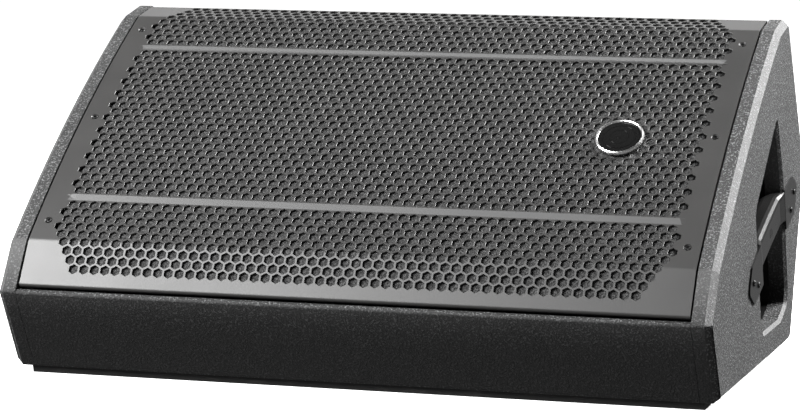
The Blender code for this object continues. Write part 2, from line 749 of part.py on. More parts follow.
def horn():
    """A flared horn moulding with a flat flange on the baffle."""
    frame = axis_empty("horn_axis", baffle_frame(HORN_X, HORN_RUN))
    stations = 7
    throat = 17.0
    inner, outer = [], []
    for step in range(stations):
        share = step / (stations - 1)
        flare = share ** 1.7
        half = Vector((throat + (HORN_HALF_MOUTH.x - throat) * flare,
                       throat + (HORN_HALF_MOUTH.y - throat) * flare))
        corner = throat * 0.98 + (12.0 - throat) * share
        depth = -HORN_LENGTH + HORN_LENGTH * share
        inner.append(super_loop(half, corner, depth + 4.2 * share))
        wall = half + Vector((3.0, 3.0))
        outer.append(super_loop(wall, corner + 3.0, depth + GAP * share))
    border = HORN_HALF_MOUTH + Vector((HORN_FLANGE_BORDER, HORN_FLANGE_BORDER))
    flange = [super_loop(border, 8.0, 4.2), super_loop(border, 8.0, GAP)]
    loops = inner + flange + outer[::-1]
    attach(loft("horn", loops, moulding(), ring=True, smooth=True), frame)
    zinc = material("driver_casting", (0.1, 0.1, 0.1), 0.45, 0.7)
    profile = [(0, -150), (40, -150), (46, -144), (46, -108), (42, -104), (26, -104), (26, -90.4), (0, -90.4)]
    attach(turned("compression_driver", profile, zinc), frame)


def ports():
    for index, x in enumerate(PORT_XS, start=1):
        frame = axis_empty("port_axis_%d" % index, baffle_frame(x, PORT_RUN))
        radius = PORT_RADIUS
        profile = [(radius, -66), (radius + 3, -66), (radius + 3, GAP), (radius + 9, GAP),
                   (radius + 9, 2.6), (radius + 4, 3.4), (radius + 1, 2.0), (radius, -1.5)]
        attach(turned("port_tube_%d" % index, profile, moulding(), steps=40), frame)


# --- the amplifier --------------------------------------------------------------------------

def amplifier(panel):
    """The rear panel's cut-out, its plate, the electronics tray and the controls."""
    middle = REAR_FOOT + REAR_UP * ((REAR_SHOULDER - REAR_FOOT).length / 2)
    matrix = plane_matrix(0.0, middle, REAR_UP, -REAR_IN)
    frame = axis_empty("amplifier_axis", matrix)
    reach = AMP_HALF
    seat = block("amp_seat", (-reach.x - 0.6, -reach.y - 0.6, -AMP_REBATE),
                 (reach.x + 0.6, reach.y + 0.6, 5.0), paint())
    window = block("amp_window", (-reach.x + 12, -reach.y + 12, -BOARD - 5),
                   (reach.x - 12, reach.y - 12, 5.0), paint())
    for cutter in (seat, window):
        attach(cutter, frame)
        cut(panel, cutter)
    floor = -AMP_REBATE + GAP
    face = floor + AMP_PLATE
    plate = block("amp_plate", (-reach.x, -reach.y, floor), (reach.x, reach.y, face), steel())
    attach(plate, frame)
    tray_half = Vector((reach.x - 16.0, reach.y - 16.0))
    thin = Vector((2.0, 2.0))
    rim, base = floor - GAP, -AMP_TRAY_DEPTH
    levels = [(tray_half - thin, base + 2.0), (tray_half - thin, rim), (tray_half, rim), (tray_half, base)]
    tray = loft("amp_tray", [super_loop(half, 3.0, z, steps=2) for half, z in levels], steel())
    attach(tray, frame)
    shell = material("connector_shell", (0.03, 0.03, 0.03), 0.45)
    for name, x in (("input_socket", -118.0), ("link_socket", -78.0)):
        round_hole(plate, frame, name + "_hole", x, 0.0, 12.3)
        profile = [(0, face - 14), (12.0, face - 14), (12.0, face + GAP), (15.5, face + GAP),
                   (15.5, face + 2.2), (14.6, face + 2.9), (9.5, face + 2.9), (9.5, face - 8), (0, face - 8)]
        attach(turned(name, profile, shell, steps=32), frame, (x, 0.0, 0.0))
    gain_knob(plate, frame, face)
    mains_inlet(plate, frame, face, shell)
    power_switch(plate, frame, face)
    round_hole(plate, frame, "lamp_hole", 20.0, 22.0, 2.8)
    lens = material("green_lens", (0.02, 0.5, 0.08), 0.2)
    lamp = turned("status_lamp", [(0, face - 4), (2.5, face - 4), (2.5, face + 0.6), (1.6, face + 1.6),
                                  (0, face + 2.0)], lens, steps=16)
    attach(lamp, frame, (20.0, 22.0, 0.0))


def round_hole(plate, frame, name, x, y, radius):
    hole = turned(name, [(0, -20), (radius, -20), (radius, 10), (0, 10)], steel(), steps=32)
    attach(hole, frame, (x, y, 0.0))
    cut(plate, hole)


def gain_knob(plate, frame, face):
    """A ribbed knob on a shaft; its pointer rib faces up at rest."""
    spot = (-20.0, 0.0, 0.0)
    round_hole(plate, frame, "shaft_hole", spot[0], spot[1], 3.6)
    steps = 32
    loops = []
    for height, radius, rib in ((face + GAP, 9.5, 0.4), (face + 10.0, 8.4, 0.4), (face + 11.2, 7.4, 0.0)):
        loop = []
        for step in range(steps):
            angle = 2 * math.pi * step / steps
            reach = radius - (rib if step % 2 else 0.0)
            if step == steps // 4:
                reach += 1.6
            loop.append(Vector((reach * math.cos(angle), reach * math.sin(angle), height)) / 1000)
        loops.append(loop)
    shaft = [[Vector((3.0 * math.cos(2 * math.pi * step / steps),
                      3.0 * math.sin(2 * math.pi * step / steps), height)) / 1000
              for step in range(steps)] for height in (face - 12.0, face + GAP)]
    attach(loft("gain_knob", shaft + loops, moulding()), frame, spot)


def mains_inlet(plate, frame, face, shell):
    """A recessed inlet body behind a flange."""
    spot = (112.0, -8.0, 0.0)
    half = Vector((13.6, 9.8))
    outer = [super_loop(half, 2.0, z, steps=2) for z in (-20, 10)]
    hole = loft("inlet_hole", outer, steel())
    attach(hole, frame, spot)
    cut(plate, hole)
    body = half - Vector((GAP, GAP))
    flange = Vector((16.5, 13.0))
    pocket = Vector((11.5, 7.6))
    levels = [(body, face - 22), (body, face + GAP), (flange, face + GAP), (flange, face + 2.3),
              (pocket, face + 2.3), (pocket, face - 15)]
    inlet = loft("mains_inlet", [super_loop(size, 2.0, z, steps=2) for size, z in levels], shell)
    attach(inlet, frame, spot)


def power_switch(plate, frame, face):
    """A rocker in its bezel, at rest in the off position."""
    spot = (66.0, -8.0, 0.0)
    opening = Vector((6.9, 11.4))
    hole = loft("switch_hole", [super_loop(opening, 1.0, z, steps=2) for z in (-20, 10)], steel())
    attach(hole, frame, spot)
    cut(plate, hole)
    body = opening - Vector((GAP, GAP))
    window = Vector((5.2, 9.8))
    flange = Vector((8.6, 13.2))
    levels = [(body, face - 9), (body, face + GAP), (flange, face + GAP), (flange, face + 2.2),
              (window, face + 2.2), (window, face - 9)]
    bezel = loft("switch_bezel", [super_loop(size, 1.0, z, steps=2) for size, z in levels], moulding(),
                 ring=True)
    attach(bezel, frame, spot)
    pivot = axis_empty("switch_axis", Matrix.Identity(4))
    attach(pivot, frame, (spot[0], spot[1], face))
    off_tilt = math.radians(-9)
    profile = [Vector((-8.6, -1.5)), Vector((-6.0, -5.0)), Vector((6.0, -5.0)), Vector((8.6, -1.5)),
               Vector((8.6, 2.6)), Vector((0.0, 1.5)), Vector((-8.6, 2.6))]
    loops = []
    for x in (-4.8, 4.8):
        loops.append([Vector((x, point.x, point.y)) / 1000 for point in profile])
    rocker = loft("power_switch", loops, moulding())
    attach(rocker, pivot, rotation=(off_tilt, 0.0, 0.0))


def clear_scene():
    for existing in list(bpy.data.objects):
        bpy.data.objects.remove(existing, do_unlink=True)


def main():
    clear_scene()
    side_panels()
    front_lower_panel()
    bottom_panel()
    rear_panel = rear_lower_panel()
    rear_upper_panel()
    top_panel()
    baffle()
    brace()
    wadding()
    skids()
    handles()
    handle_cups()
    sheet = grille()
    foam()
    grille_fixings(sheet, rails())
    badge()
    woofer()
    horn()
    ports()
    amplifier(rear_panel)


main()
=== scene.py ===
# %% [markdown]
# # A stage monitor wedge
#
# A stage monitor lies on the floor and points up at the player. Its box is plywood under a coat
# of hard, pebbly paint. A folded steel grille closes the front, with foam behind it to keep out
# dust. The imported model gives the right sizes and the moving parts. This lesson adds the looks:
# the perforated sheet, the finishes, the fittings, and a plain studio.

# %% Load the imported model
import json
import math

import bmesh
import bpy
import numpy as np
from mathutils import Matrix, Vector, noise


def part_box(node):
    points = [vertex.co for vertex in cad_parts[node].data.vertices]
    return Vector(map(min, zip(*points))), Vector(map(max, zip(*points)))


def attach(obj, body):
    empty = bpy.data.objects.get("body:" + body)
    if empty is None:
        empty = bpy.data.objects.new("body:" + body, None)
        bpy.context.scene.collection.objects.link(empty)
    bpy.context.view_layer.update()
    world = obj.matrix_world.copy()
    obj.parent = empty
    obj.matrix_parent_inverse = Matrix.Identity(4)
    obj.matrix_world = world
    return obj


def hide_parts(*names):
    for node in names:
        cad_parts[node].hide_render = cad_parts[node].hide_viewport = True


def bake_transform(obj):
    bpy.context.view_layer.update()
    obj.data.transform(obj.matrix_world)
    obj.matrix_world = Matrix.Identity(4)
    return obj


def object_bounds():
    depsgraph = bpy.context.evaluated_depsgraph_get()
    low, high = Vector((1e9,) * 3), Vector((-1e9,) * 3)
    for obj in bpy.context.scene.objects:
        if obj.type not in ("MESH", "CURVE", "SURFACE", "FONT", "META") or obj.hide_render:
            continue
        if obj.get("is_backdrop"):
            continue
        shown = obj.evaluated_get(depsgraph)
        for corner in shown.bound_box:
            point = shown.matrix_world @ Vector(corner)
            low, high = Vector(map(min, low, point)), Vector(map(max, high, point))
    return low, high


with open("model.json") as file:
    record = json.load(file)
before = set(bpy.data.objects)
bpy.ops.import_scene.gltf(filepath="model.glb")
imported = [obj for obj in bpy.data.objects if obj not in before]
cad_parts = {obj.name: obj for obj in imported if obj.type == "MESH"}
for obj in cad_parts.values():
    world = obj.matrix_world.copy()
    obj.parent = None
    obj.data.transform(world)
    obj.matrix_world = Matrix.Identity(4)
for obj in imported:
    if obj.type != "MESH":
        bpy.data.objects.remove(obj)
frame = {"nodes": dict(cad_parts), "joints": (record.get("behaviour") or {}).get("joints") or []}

cad_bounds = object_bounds()
box_size = cad_bounds[1] - cad_bounds[0]
print("box in millimetres:", [round(side * 1000, 1) for side in box_size])

# %% [markdown]
# ## Maths on sockets
#
# A material is a graph of nodes. Wiring it by hand hides the idea behind it, so one small class
# wraps an output socket and lets ordinary arithmetic add the Math nodes. Every other node comes
# from one method, which sets a node's options first and then its inputs.

# %% One class for a socket
class Wire:
    """An output socket of a material, with arithmetic."""

    def __init__(self, tree, socket=None):
        self.tree = tree
        self.socket = socket

    def node(self, kind, settings=None, inputs=None, output=0):
        """Add a node and return a Wire on one of its outputs."""
        made = self.tree.nodes.new("ShaderNode" + kind)
        for name, value in (settings or {}).items():
            setattr(made, name, value)
        for name, value in (inputs or {}).items():
            if isinstance(value, Wire):
                self.tree.links.new(value.socket, made.inputs[name])
            else:
                made.inputs[name].default_value = value
        return Wire(self.tree, made.outputs[output] if made.outputs else None)

    def maths(self, operation, first, second=0.0):
        return self.node("Math", {"operation": operation}, {0: first, 1: second})

    def __add__(self, other):
        return self.maths("ADD", self, other)

    __radd__ = __add__

    def __mul__(self, other):
        return self.maths("MULTIPLY", self, other)

    __rmul__ = __mul__

    def __sub__(self, other):
        return self.maths("SUBTRACT", self, other)

    def __rsub__(self, other):
        return self.maths("SUBTRACT", other, self)

    def absolute(self):
        return self.maths("ABSOLUTE", self)

    def part(self, index):
        """The x, y or z part of a vector, by its index."""
        return self.node("SeparateXYZ", inputs={"Vector": self}, output=index)

    def above(self, low, high):
        """0 under low, 1 over high, and a soft step between."""
        return self.node("MapRange", {"interpolation_type": "SMOOTHSTEP"},
                         {"Value": self, "From Min": low, "From Max": high})


# %% Start and close a finish
def grey(level, warmth=0.0):
    """A neutral colour; warmth shifts it towards red (or blue, if negative)."""
    return (level * (1 + warmth), level, level * (1 - warmth), 1.0)


def start_finish(name):
    """A new material and a Wire on the object's own coordinates, in metres."""
    material = bpy.data.materials.new(name)
    material.use_nodes = True
    material.node_tree.nodes.clear()
    return material, Wire(material.node_tree).node("TexCoord", output="Object")


def close_finish(place, colour, roughness, height=None, depth=0.0, **fixed):
    """Feed a Principled shader; height and depth (metres) give the bump."""
    inputs = {"Base Color": colour, "Roughness": roughness}
    if height is not None:
        inputs["Normal"] = place.node("Bump", inputs={"Strength": 1.0, "Distance": depth,
                                                      "Height": height})
    for name, value in fixed.items():
        inputs[name.replace("_", " ")] = value
    shader = place.node("BsdfPrincipled", inputs=inputs)
    place.node("OutputMaterial", inputs={"Surface": shader})


def grain(place, size, detail=2.0, roughness=0.5):
    """Noise whose features are about that size, in metres."""
    return place.node("TexNoise", inputs={"Vector": place, "Scale": 1.0 / size, "Detail": detail,
                                          "Roughness": roughness})


def stretched(place, across):
    """The same coordinates, stretched by three factors."""
    return place.node("VectorMath", {"operation": "MULTIPLY"}, {0: place, 1: across})


def blend_colours(place, mask, first, second):
    """First colour where the mask is 0, second where it is 1."""
    return place.node("Mix", {"data_type": "RGBA"}, {0: mask, 6: first, 7: second}, output=2)


# %% [markdown]
# ## Pebbly cabinet paint
#
# The box is sprayed with a thick water-based texture paint. It dries into hard little pebbles
# about two millimetres across, which catch the light on their tops. Two noises make the pebbles
# as bump, and the tops are also a little lighter and smoother, where hands and flight cases have
# polished them. A painted highlight lightens the slanting edges of the side panels, which face
# the light. The front board is painted lighter at its top and painted in shade at its foot, where
# it is also duller. These are found from the way the surface faces and its height.

# %% Cabinet paint
PEBBLE_SIZE = 0.0019
texture_paint, place = start_finish("texture_paint")
pebbles = grain(place, PEBBLE_SIZE, 3.0, 0.66)
fine_pebbles = grain(place, 0.0014, 2.0, 0.5)
clouds = grain(place, 0.09, 3.0)
facing = place.node("TexCoord", output="Normal")
sideways = facing.part(0).absolute()
forwards = 0.0 - facing.part(1)
upwards = facing.part(2)
height_up = place.part(2)
slanting = sideways.above(0.35, 0.50) * (1.0 - sideways.above(0.90, 0.97))
# painted highlight: the upward-facing slanting edges are painted lighter, where the light falls on
# them
painted_edge_highlight = slanting * upwards.above(0.1, 0.4)
# painted shade: the foot of the front board is painted darker, as if in its own shadow by the
# floor; it is also made rougher
foot_shade_and_dullness = forwards.above(0.6, 0.9) * (1.0 - height_up.above(0.040, 0.125))
polish = pebbles.above(0.55, 0.60)
paint_colour = blend_colours(place, polish * 0.85 + clouds * 0.15, grey(0.004), grey(0.15, -0.01))
paint_colour = blend_colours(place, painted_edge_highlight * 0.6, paint_colour, grey(0.13))
paint_colour = blend_colours(place, foot_shade_and_dullness * 0.9, paint_colour, grey(0.004))
# painted light: the top of the front board is painted lighter, where the light falls on it
painted_top_light = forwards.above(0.6, 0.9) * height_up.above(0.060, 0.125)
paint_colour = blend_colours(place, painted_top_light * 0.6, paint_colour, grey(0.12))
paint_roughness = (0.62 - 0.16 * polish + 0.08 * clouds - 0.02 * painted_edge_highlight + 0.3 * foot_shade_and_dullness)
close_finish(place, paint_colour, paint_roughness, pebbles + 0.4 * fine_pebbles, 0.0010)
print("paint pebbles: %.1f mm" % (PEBBLE_SIZE * 1000))

# %% [markdown]
# ## Powder-coated steel
#
# The grille is punched, folded and then powder coated. The coat is satin and nearly smooth; close
# up it has the slight waviness called orange peel. Handling leaves it a touch duller in places.

# %% Powder coat
def coat_layers(place):
    """The peel, the handling and the colour of the satin coat."""
    peel = grain(place, 0.0016, 1.0)
    handling = grain(place, 0.06, 4.0)
    colour = blend_colours(place, handling, grey(0.026, 0.01), grey(0.040, 0.02))
    return peel, handling, colour


powder_coat, place = start_finish("powder_coat")
peel, handling, coat_colour = coat_layers(place)
close_finish(place, coat_colour, 0.36 + 0.10 * handling, peel, 0.00004)
print("nodes in the coat:", len(powder_coat.node_tree.nodes))

# %% [markdown]
# ## Moulded plastic, rubber and fastenings
#
# Handles, horn, sockets and knobs are moulded in glass-filled nylon or ABS with a fine
# spark-eroded grain. The skids are rubber. Screws are blackened steel, with the black worn thin
# on the edges.

# %% Plastic, rubber, screws
moulded_plastic, place = start_finish("moulded_plastic")
spark_grain = grain(place, 0.0007, 2.0)
flow = grain(place, 0.03, 2.0)
close_finish(place, blend_colours(place, flow, grey(0.006), grey(0.012)), 0.28 + 0.12 * flow,
             spark_grain, 0.00008, Specular_IOR_Level=0.25)

skid_rubber, place = start_finish("skid_rubber")
scuffs = grain(stretched(place, (1.0, 4.0, 4.0)), 0.02, 4.0, 0.7)
close_finish(place, blend_colours(place, scuffs.above(0.5, 0.7), grey(0.010), grey(0.030, 0.03)),
             0.72 + 0.15 * scuffs, scuffs, 0.0003)

black_screw, place = start_finish("black_screw")
worn = grain(place, 0.002, 3.0).above(0.58, 0.72)
close_finish(place, blend_colours(place, worn, grey(0.03), grey(0.22)), 0.42 - 0.14 * worn,
             worn, 0.00005, Metallic=0.9)
print("finishes:", [made.name for made in (moulded_plastic, skid_rubber, black_screw)])

# %% [markdown]
# ## Badge metals
#
# The badge is a chromed plastic ring round a gloss black disc. Chrome needs very little: a bright
# metal with a low roughness, and a few soft smudges so that its reflection isn't perfect.

# %% Chrome and gloss black
badge_chrome, place = start_finish("badge_chrome_plate")
smudges = grain(place, 0.008, 3.0)
close_finish(place, blend_colours(place, smudges, grey(0.72), grey(0.62, 0.01)),
             0.20 + 0.14 * smudges, smudges, 0.00002, Metallic=1.0)

badge_gloss, place = start_finish("badge_gloss_black")
hairlines = grain(stretched(place, (1.0, 18.0, 18.0)), 0.004, 3.0)
close_finish(place, blend_colours(place, hairlines, grey(0.004), grey(0.008)),
             0.05 + 0.10 * hairlines.above(0.5, 0.75), hairlines, 0.00001)
print("badge finishes:", badge_chrome.name, "and", badge_gloss.name)

# %% [markdown]
# ## Inside the box
#
# Birch plywood shows pale veneers on its edges. The drivers have a cast basket with a black
# finish, a ferrite magnet, a pressed paper cone, a treated cloth surround, a woven spider and a
# copper-coloured coil former. The blanket is polyester wadding. Each finish is one or two noises,
# stretched where the stuff has a direction, or a wave texture where it is woven or wound.

# %% Plywood
birch_plywood, place = start_finish("birch_plywood")
figure = grain(stretched(place, (0.12, 1.0, 1.0)), 0.004, 4.0, 0.6)
pores = grain(stretched(place, (0.05, 1.0, 1.0)), 0.0008, 2.0)
birch = blend_colours(place, figure, (0.50, 0.33, 0.18, 1.0), (0.68, 0.50, 0.30, 1.0))
birch = blend_colours(place, pores.above(0.6, 0.75) * 0.5, birch, (0.30, 0.17, 0.08, 1.0))
close_finish(place, birch, 0.55 + 0.15 * figure, pores, 0.0001)

black_stain, place = start_finish("black_stained_plywood")
figure = grain(stretched(place, (0.12, 1.0, 1.0)), 0.004, 4.0, 0.6)
close_finish(place, blend_colours(place, figure, grey(0.006), grey(0.016)), 0.6 + 0.2 * figure,
             figure, 0.0001)
print("plywood finishes:", birch_plywood.name, "and", black_stain.name)

# %% Driver finishes
basket_metal, place = start_finish("basket_metal")
casting = grain(place, 0.0015, 3.0)
close_finish(place, blend_colours(place, casting, grey(0.020), grey(0.045)), 0.42 + 0.12 * casting,
             casting, 0.0001, Metallic=0.6)

ferrite, place = start_finish("ferrite")
sinter = grain(place, 0.003, 4.0, 0.7)
close_finish(place, blend_colours(place, sinter, grey(0.025), grey(0.060, 0.03)),
             0.6 + 0.2 * sinter, sinter, 0.0003)

cone_pulp, place = start_finish("cone_pulp")
fibres = grain(stretched(place, (1.0, 2.5, 1.0)), 0.0014, 4.0, 0.7)
close_finish(place, blend_colours(place, fibres, grey(0.018), grey(0.050)), 0.75 + 0.15 * fibres,
             fibres, 0.0003)

treated_cloth, place = start_finish("treated_cloth")
weave = place.node("TexWave", {"bands_direction": "DIAGONAL"},
                   {"Vector": place, "Scale": 260.0, "Distortion": 0.6}, output=1)
close_finish(place, blend_colours(place, weave, grey(0.016), grey(0.040)), 0.5 + 0.25 * weave,
             weave, 0.00015)

spider_weave, place = start_finish("spider_weave")
threads = place.node("TexWave", {"bands_direction": "DIAGONAL"},
                     {"Vector": place, "Scale": 320.0, "Distortion": 0.4}, output=1)
close_finish(place, blend_colours(place, threads, (0.30, 0.13, 0.04, 1.0), (0.50, 0.26, 0.10, 1.0)),
             0.8 + 0.1 * threads, threads, 0.0002)

coil_copper, place = start_finish("coil_copper")
turns = place.node("TexWave", {"bands_direction": "Z"}, {"Vector": place, "Scale": 420.0}, output=1)
close_finish(place, blend_colours(place, turns, (0.28, 0.09, 0.03, 1.0), (0.72, 0.34, 0.18, 1.0)),
             0.3 + 0.2 * turns, turns, 0.0001, Metallic=0.8)

polyester_wadding, place = start_finish("polyester_wadding")
fluff = grain(place, 0.004, 5.0, 0.75)
close_finish(place, blend_colours(place, fluff, grey(0.35), grey(0.75, 0.02)), 0.9 + 0.1 * fluff,
             fluff, 0.002)

lamp_lens, place = start_finish("lamp_lens_green")
ripple = grain(place, 0.0012, 2.0)
close_finish(place, blend_colours(place, ripple, (0.03, 0.22, 0.05, 1.0), (0.06, 0.38, 0.09, 1.0)),
             0.15 + 0.1 * ripple, ripple, 0.00002)
driver_finishes = (basket_metal, ferrite, cone_pulp, treated_cloth, spider_weave, coil_copper)
print("driver finishes:", [made.name for made in driver_finishes])

# %% [markdown]
# ## Grille foam
#
# Behind the holes lies open-cell foam, thin and dark. Its cells are about a millimetre across and
# make a rough, broken surface that shows pale flecks where light gets in through the grille.

# %% Foam
open_foam, place = start_finish("open_foam")
cells = place.node("TexVoronoi", {"feature": "F1"}, {"Vector": place, "Scale": 620.0})
strands = grain(place, 0.0018, 3.0, 0.7)
foam_mask = strands.above(0.42, 0.66)
close_finish(place, blend_colours(place, foam_mask, grey(0.018), grey(0.105)),
             0.85 + 0.1 * strands, strands + 0.5 * cells, 0.0016)
print("nodes in the foam:", len(open_foam.node_tree.nodes))

# %% [markdown]
# ## Give the model's own parts their finish
#
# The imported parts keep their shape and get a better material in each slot. The table below goes
# by the record's slot names. The baffle and the grille's rails are stained black, as bare wood
# would show through the holes.

# %% Slot finishes
slot_finishes = {
    "cabinet_paint": texture_paint, "plywood": birch_plywood, "wadding": polyester_wadding,
    "rubber": skid_rubber, "moulding": moulded_plastic, "screws": black_screw,
    "coated_steel": powder_coat, "foam": open_foam, "badge_chrome": badge_chrome,
    "badge_gloss": badge_gloss, "driver_metal": basket_metal, "magnet": ferrite,
    "surround_rubber": treated_cloth, "spider_cloth": spider_weave, "cone_paper": cone_pulp,
    "coil_former": coil_copper, "lamp_lens": lamp_lens,
}
for node_name, part in frame["nodes"].items():
    for slot in part.material_slots:
        slot.material = slot_finishes[slot.material.name.split(".")[0]]
for node_name in ("baffle", "grille_rail_left", "grille_rail_right"):
    frame["nodes"][node_name].material_slots[0].material = black_stain
print("parts with a new finish:", len(frame["nodes"]))

# %% [markdown]
# ## The grille's cross-section
#
# The sheet is one piece: a long, gently bulging face, a fold and a flange at each end, and a
# small rolled lip. It is easiest to describe unrolled, by the run along the sheet. Its direction
# turns quickly at the folds and lips and evenly over the bulging face, so a short table of run
# against direction is the whole shape, and adding up small steps along it gives the curve.

# %% Unrolled sheet to bent sheet
MM = 0.001
BENT_FROM = Vector((-0.184, 0.129))       # lower fold, as (Y, Z)
BENT_TO = Vector((0.080, 0.319))          # upper fold
BULGE = 9.0 * MM
SHEET = 1.5 * MM
LOWER_FLANGE = 44.0 * MM
UPPER_FLANGE = 33.0 * MM
chord = BENT_TO - BENT_FROM
bend_radius = (chord.length ** 2 / 4 + BULGE ** 2) / (2 * BULGE)
half_turn = math.asin(chord.length / 2 / bend_radius)
half_run = bend_radius * half_turn
chord_angle = math.atan2(chord.y, chord.x)
fold_half = 1.6 * MM
lower_lip, upper_lip, lip_flat = 5.6 * MM, 4.2 * MM, 3.0 * MM
LOWER_LIP_TURN, UPPER_LIP_TURN = 2.0, 1.55          # radians
lower_angle, upper_angle = math.radians(59.6), math.radians(12.46)
run_table = [
    (-half_run - LOWER_FLANGE - lower_lip - lip_flat, lower_angle + LOWER_LIP_TURN),
    (-half_run - LOWER_FLANGE - lower_lip, lower_angle + LOWER_LIP_TURN),
    (-half_run - LOWER_FLANGE, lower_angle),
    (-half_run - fold_half, lower_angle),
    (-half_run + fold_half, chord_angle + half_turn),
    (half_run - fold_half, chord_angle - half_turn),
    (half_run + fold_half, upper_angle),
    (half_run + UPPER_FLANGE, upper_angle),
    (half_run + UPPER_FLANGE + upper_lip, upper_angle - UPPER_LIP_TURN),
    (half_run + UPPER_FLANGE + upper_lip + lip_flat, upper_angle - UPPER_LIP_TURN),
]
table_runs, table_angles = np.array(run_table).T
FINE_STEP = 0.0001
fine_runs = np.arange(table_runs[0], table_runs[-1] + FINE_STEP, FINE_STEP)
fine_angles = np.interp(fine_runs, table_runs, table_angles)
step = fine_runs[1] - fine_runs[0]
step_angles = (fine_angles[:-1] + fine_angles[1:]) / 2
fine_y = np.concatenate([[0.0], np.cumsum(np.cos(step_angles))]) * step
fine_z = np.concatenate([[0.0], np.cumsum(np.sin(step_angles))]) * step
chord_normal = Vector((-math.sin(chord_angle), math.cos(chord_angle)))
crown = (BENT_FROM + BENT_TO) / 2 + chord_normal * BULGE
fine_y += crown.x - np.interp(0.0, fine_runs, fine_y)
fine_z += crown.y - np.interp(0.0, fine_runs, fine_z)


def on_sheet(x, run, height=0.0):
    """Places of points on the bent sheet; height is out of its face. Takes arrays, in metres."""
    angle = np.interp(run, fine_runs, fine_angles)
    y = np.interp(run, fine_runs, fine_y) - np.sin(angle) * height
    z = np.interp(run, fine_runs, fine_z) + np.cos(angle) * height
    return np.stack([x, y, z], axis=-1)


fold_error = on_sheet(0.0, np.array(half_run))[1:] - np.array(BENT_TO)
print("face run %.1f mm, fold misses its corner by %.2f mm"
      % (2 * half_run / MM, np.linalg.norm(fold_error) / MM))


def add_piece(name, corners, faces, finish, body, stands_for=(), smooth=False):
    """A mesh object with its finish, which rides on a body unless that is None."""
    mesh = bpy.data.meshes.new(name)
    mesh.from_pydata([tuple(corner) for corner in corners], [], faces)
    mesh.validate()
    if smooth:
        mesh.shade_smooth()
    else:
        mesh.shade_flat()
    mesh.materials.append(finish)
    piece = bpy.data.objects.new(name, mesh)
    bpy.context.scene.collection.objects.link(piece)
    if body:
        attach(piece, body)
    if stands_for:
        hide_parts(*stands_for)
    return piece


# %% [markdown]
# ## Punching the grille
#
# The holes are hexagons in a close-packed pattern, 10.5 mm apart, with 41 rows. Around each hole
# the sheet can be split into one hexagonal cell, so the pattern is drawn as cells: with a hole, a
# ring of six four-sided faces; without one, a plain hexagon. Plain cells carry on past the last
# holes and are trimmed to the sheet's outline. Two rows have no holes: there the sheet has a
# shallow pressed step. The corners of the pattern are cut off, as each row near an end is a hole
# shorter.

# %% Flat pattern of cells
PITCH = 10.5 * MM
ROW_STEP = PITCH * math.sqrt(3) / 2
CELL_RADIUS = PITCH / math.sqrt(3)
HOLE_RADIUS = CELL_RADIUS * 0.835
HALF_WIDTH = 318.5 * MM
MIDDLE_ROW, FIRST_ROW, LAST_ROW = 22, 1, 43
SPARE_ROWS, HALF_COLUMNS = 5, 32          # cells past the pattern, up to the sheet's outline
PLAIN_ROWS = {10: -1, 34: 1}              # row, and which way its step slopes
BADGE_SPOT = Vector((218.0 * MM, -7.0 * MM))
BADGE_DISH = (24.5 * MM, 31.5 * MM)       # the flat of the dish and its rim
SCREW_RUNS = (-139.0 * MM, 0.0, 139.0 * MM)
SCREW_X = 306.5 * MM
corner_angles = [math.radians(30 + 60 * turn) for turn in range(6)]


def holes_in(row):
    """How many holes a row has."""
    from_end = min(row - FIRST_ROW, LAST_ROW - row)
    if from_end < 5:
        return 52 + from_end
    return 57 - row % 2


def has_hole(row, x):
    """Whether the cell there is punched: not in a plain row, and not under the badge."""
    if row in PLAIN_ROWS or not FIRST_ROW <= row <= LAST_ROW:
        return False
    run = (MIDDLE_ROW - row) * ROW_STEP
    if (Vector((x, run)) - BADGE_SPOT).length < 19.0 * MM:
        return False
    return abs(x) < (holes_in(row) - 0.5) * PITCH / 2


flat = bmesh.new()
hole_layer = flat.verts.layers.float_vector.new("hole")
shared = {}


def cell_corner(x, run):
    """The vertex at a corner, made once and shared by the cells round it."""
    key = (round(2 * x / PITCH), round(2 * run / CELL_RADIUS))
    if key not in shared:
        shared[key] = flat.verts.new((x, run, 0.0))
    return shared[key]


hole_count = 0
for row in range(FIRST_ROW - SPARE_ROWS, LAST_ROW + SPARE_ROWS + 1):
    run = (MIDDLE_ROW - row) * ROW_STEP
    for column in range(-HALF_COLUMNS, HALF_COLUMNS + 1):
        x = (column + row % 2 / 2) * PITCH
        ring = [cell_corner(x + CELL_RADIUS * math.cos(angle), run + CELL_RADIUS * math.sin(angle))
                for angle in corner_angles]
        if not has_hole(row, x):
            flat.faces.new(ring)
            continue
        hole_count += 1
        rim = [flat.verts.new((x + HOLE_RADIUS * math.cos(angle),
                               run + HOLE_RADIUS * math.sin(angle), 0)) for angle in corner_angles]
        for corner in rim:
            corner[hole_layer] = (x, run, 1.0)
        for index in range(6):
            after = (index + 1) % 6
            flat.faces.new([ring[index], ring[after], rim[after], rim[index]])
print("holes punched:", hole_count)

# %% [markdown]
# The pattern is now trimmed and scored. `bisect_plane` cuts along a line: at the outline it also
# throws away what lies outside, and at folds, lips and pressed steps it only adds vertices, so
# that the sheet can bend there.

# %% Trim the outline and score the bends
def score(point, normal, trim=False):
    """Cut the pattern along a line, and drop what is beyond it if trim is set."""
    everything = flat.verts[:] + flat.edges[:] + flat.faces[:]
    bmesh.ops.bisect_plane(flat, geom=everything, dist=1e-6, plane_co=point, plane_no=normal,
                           clear_outer=trim)


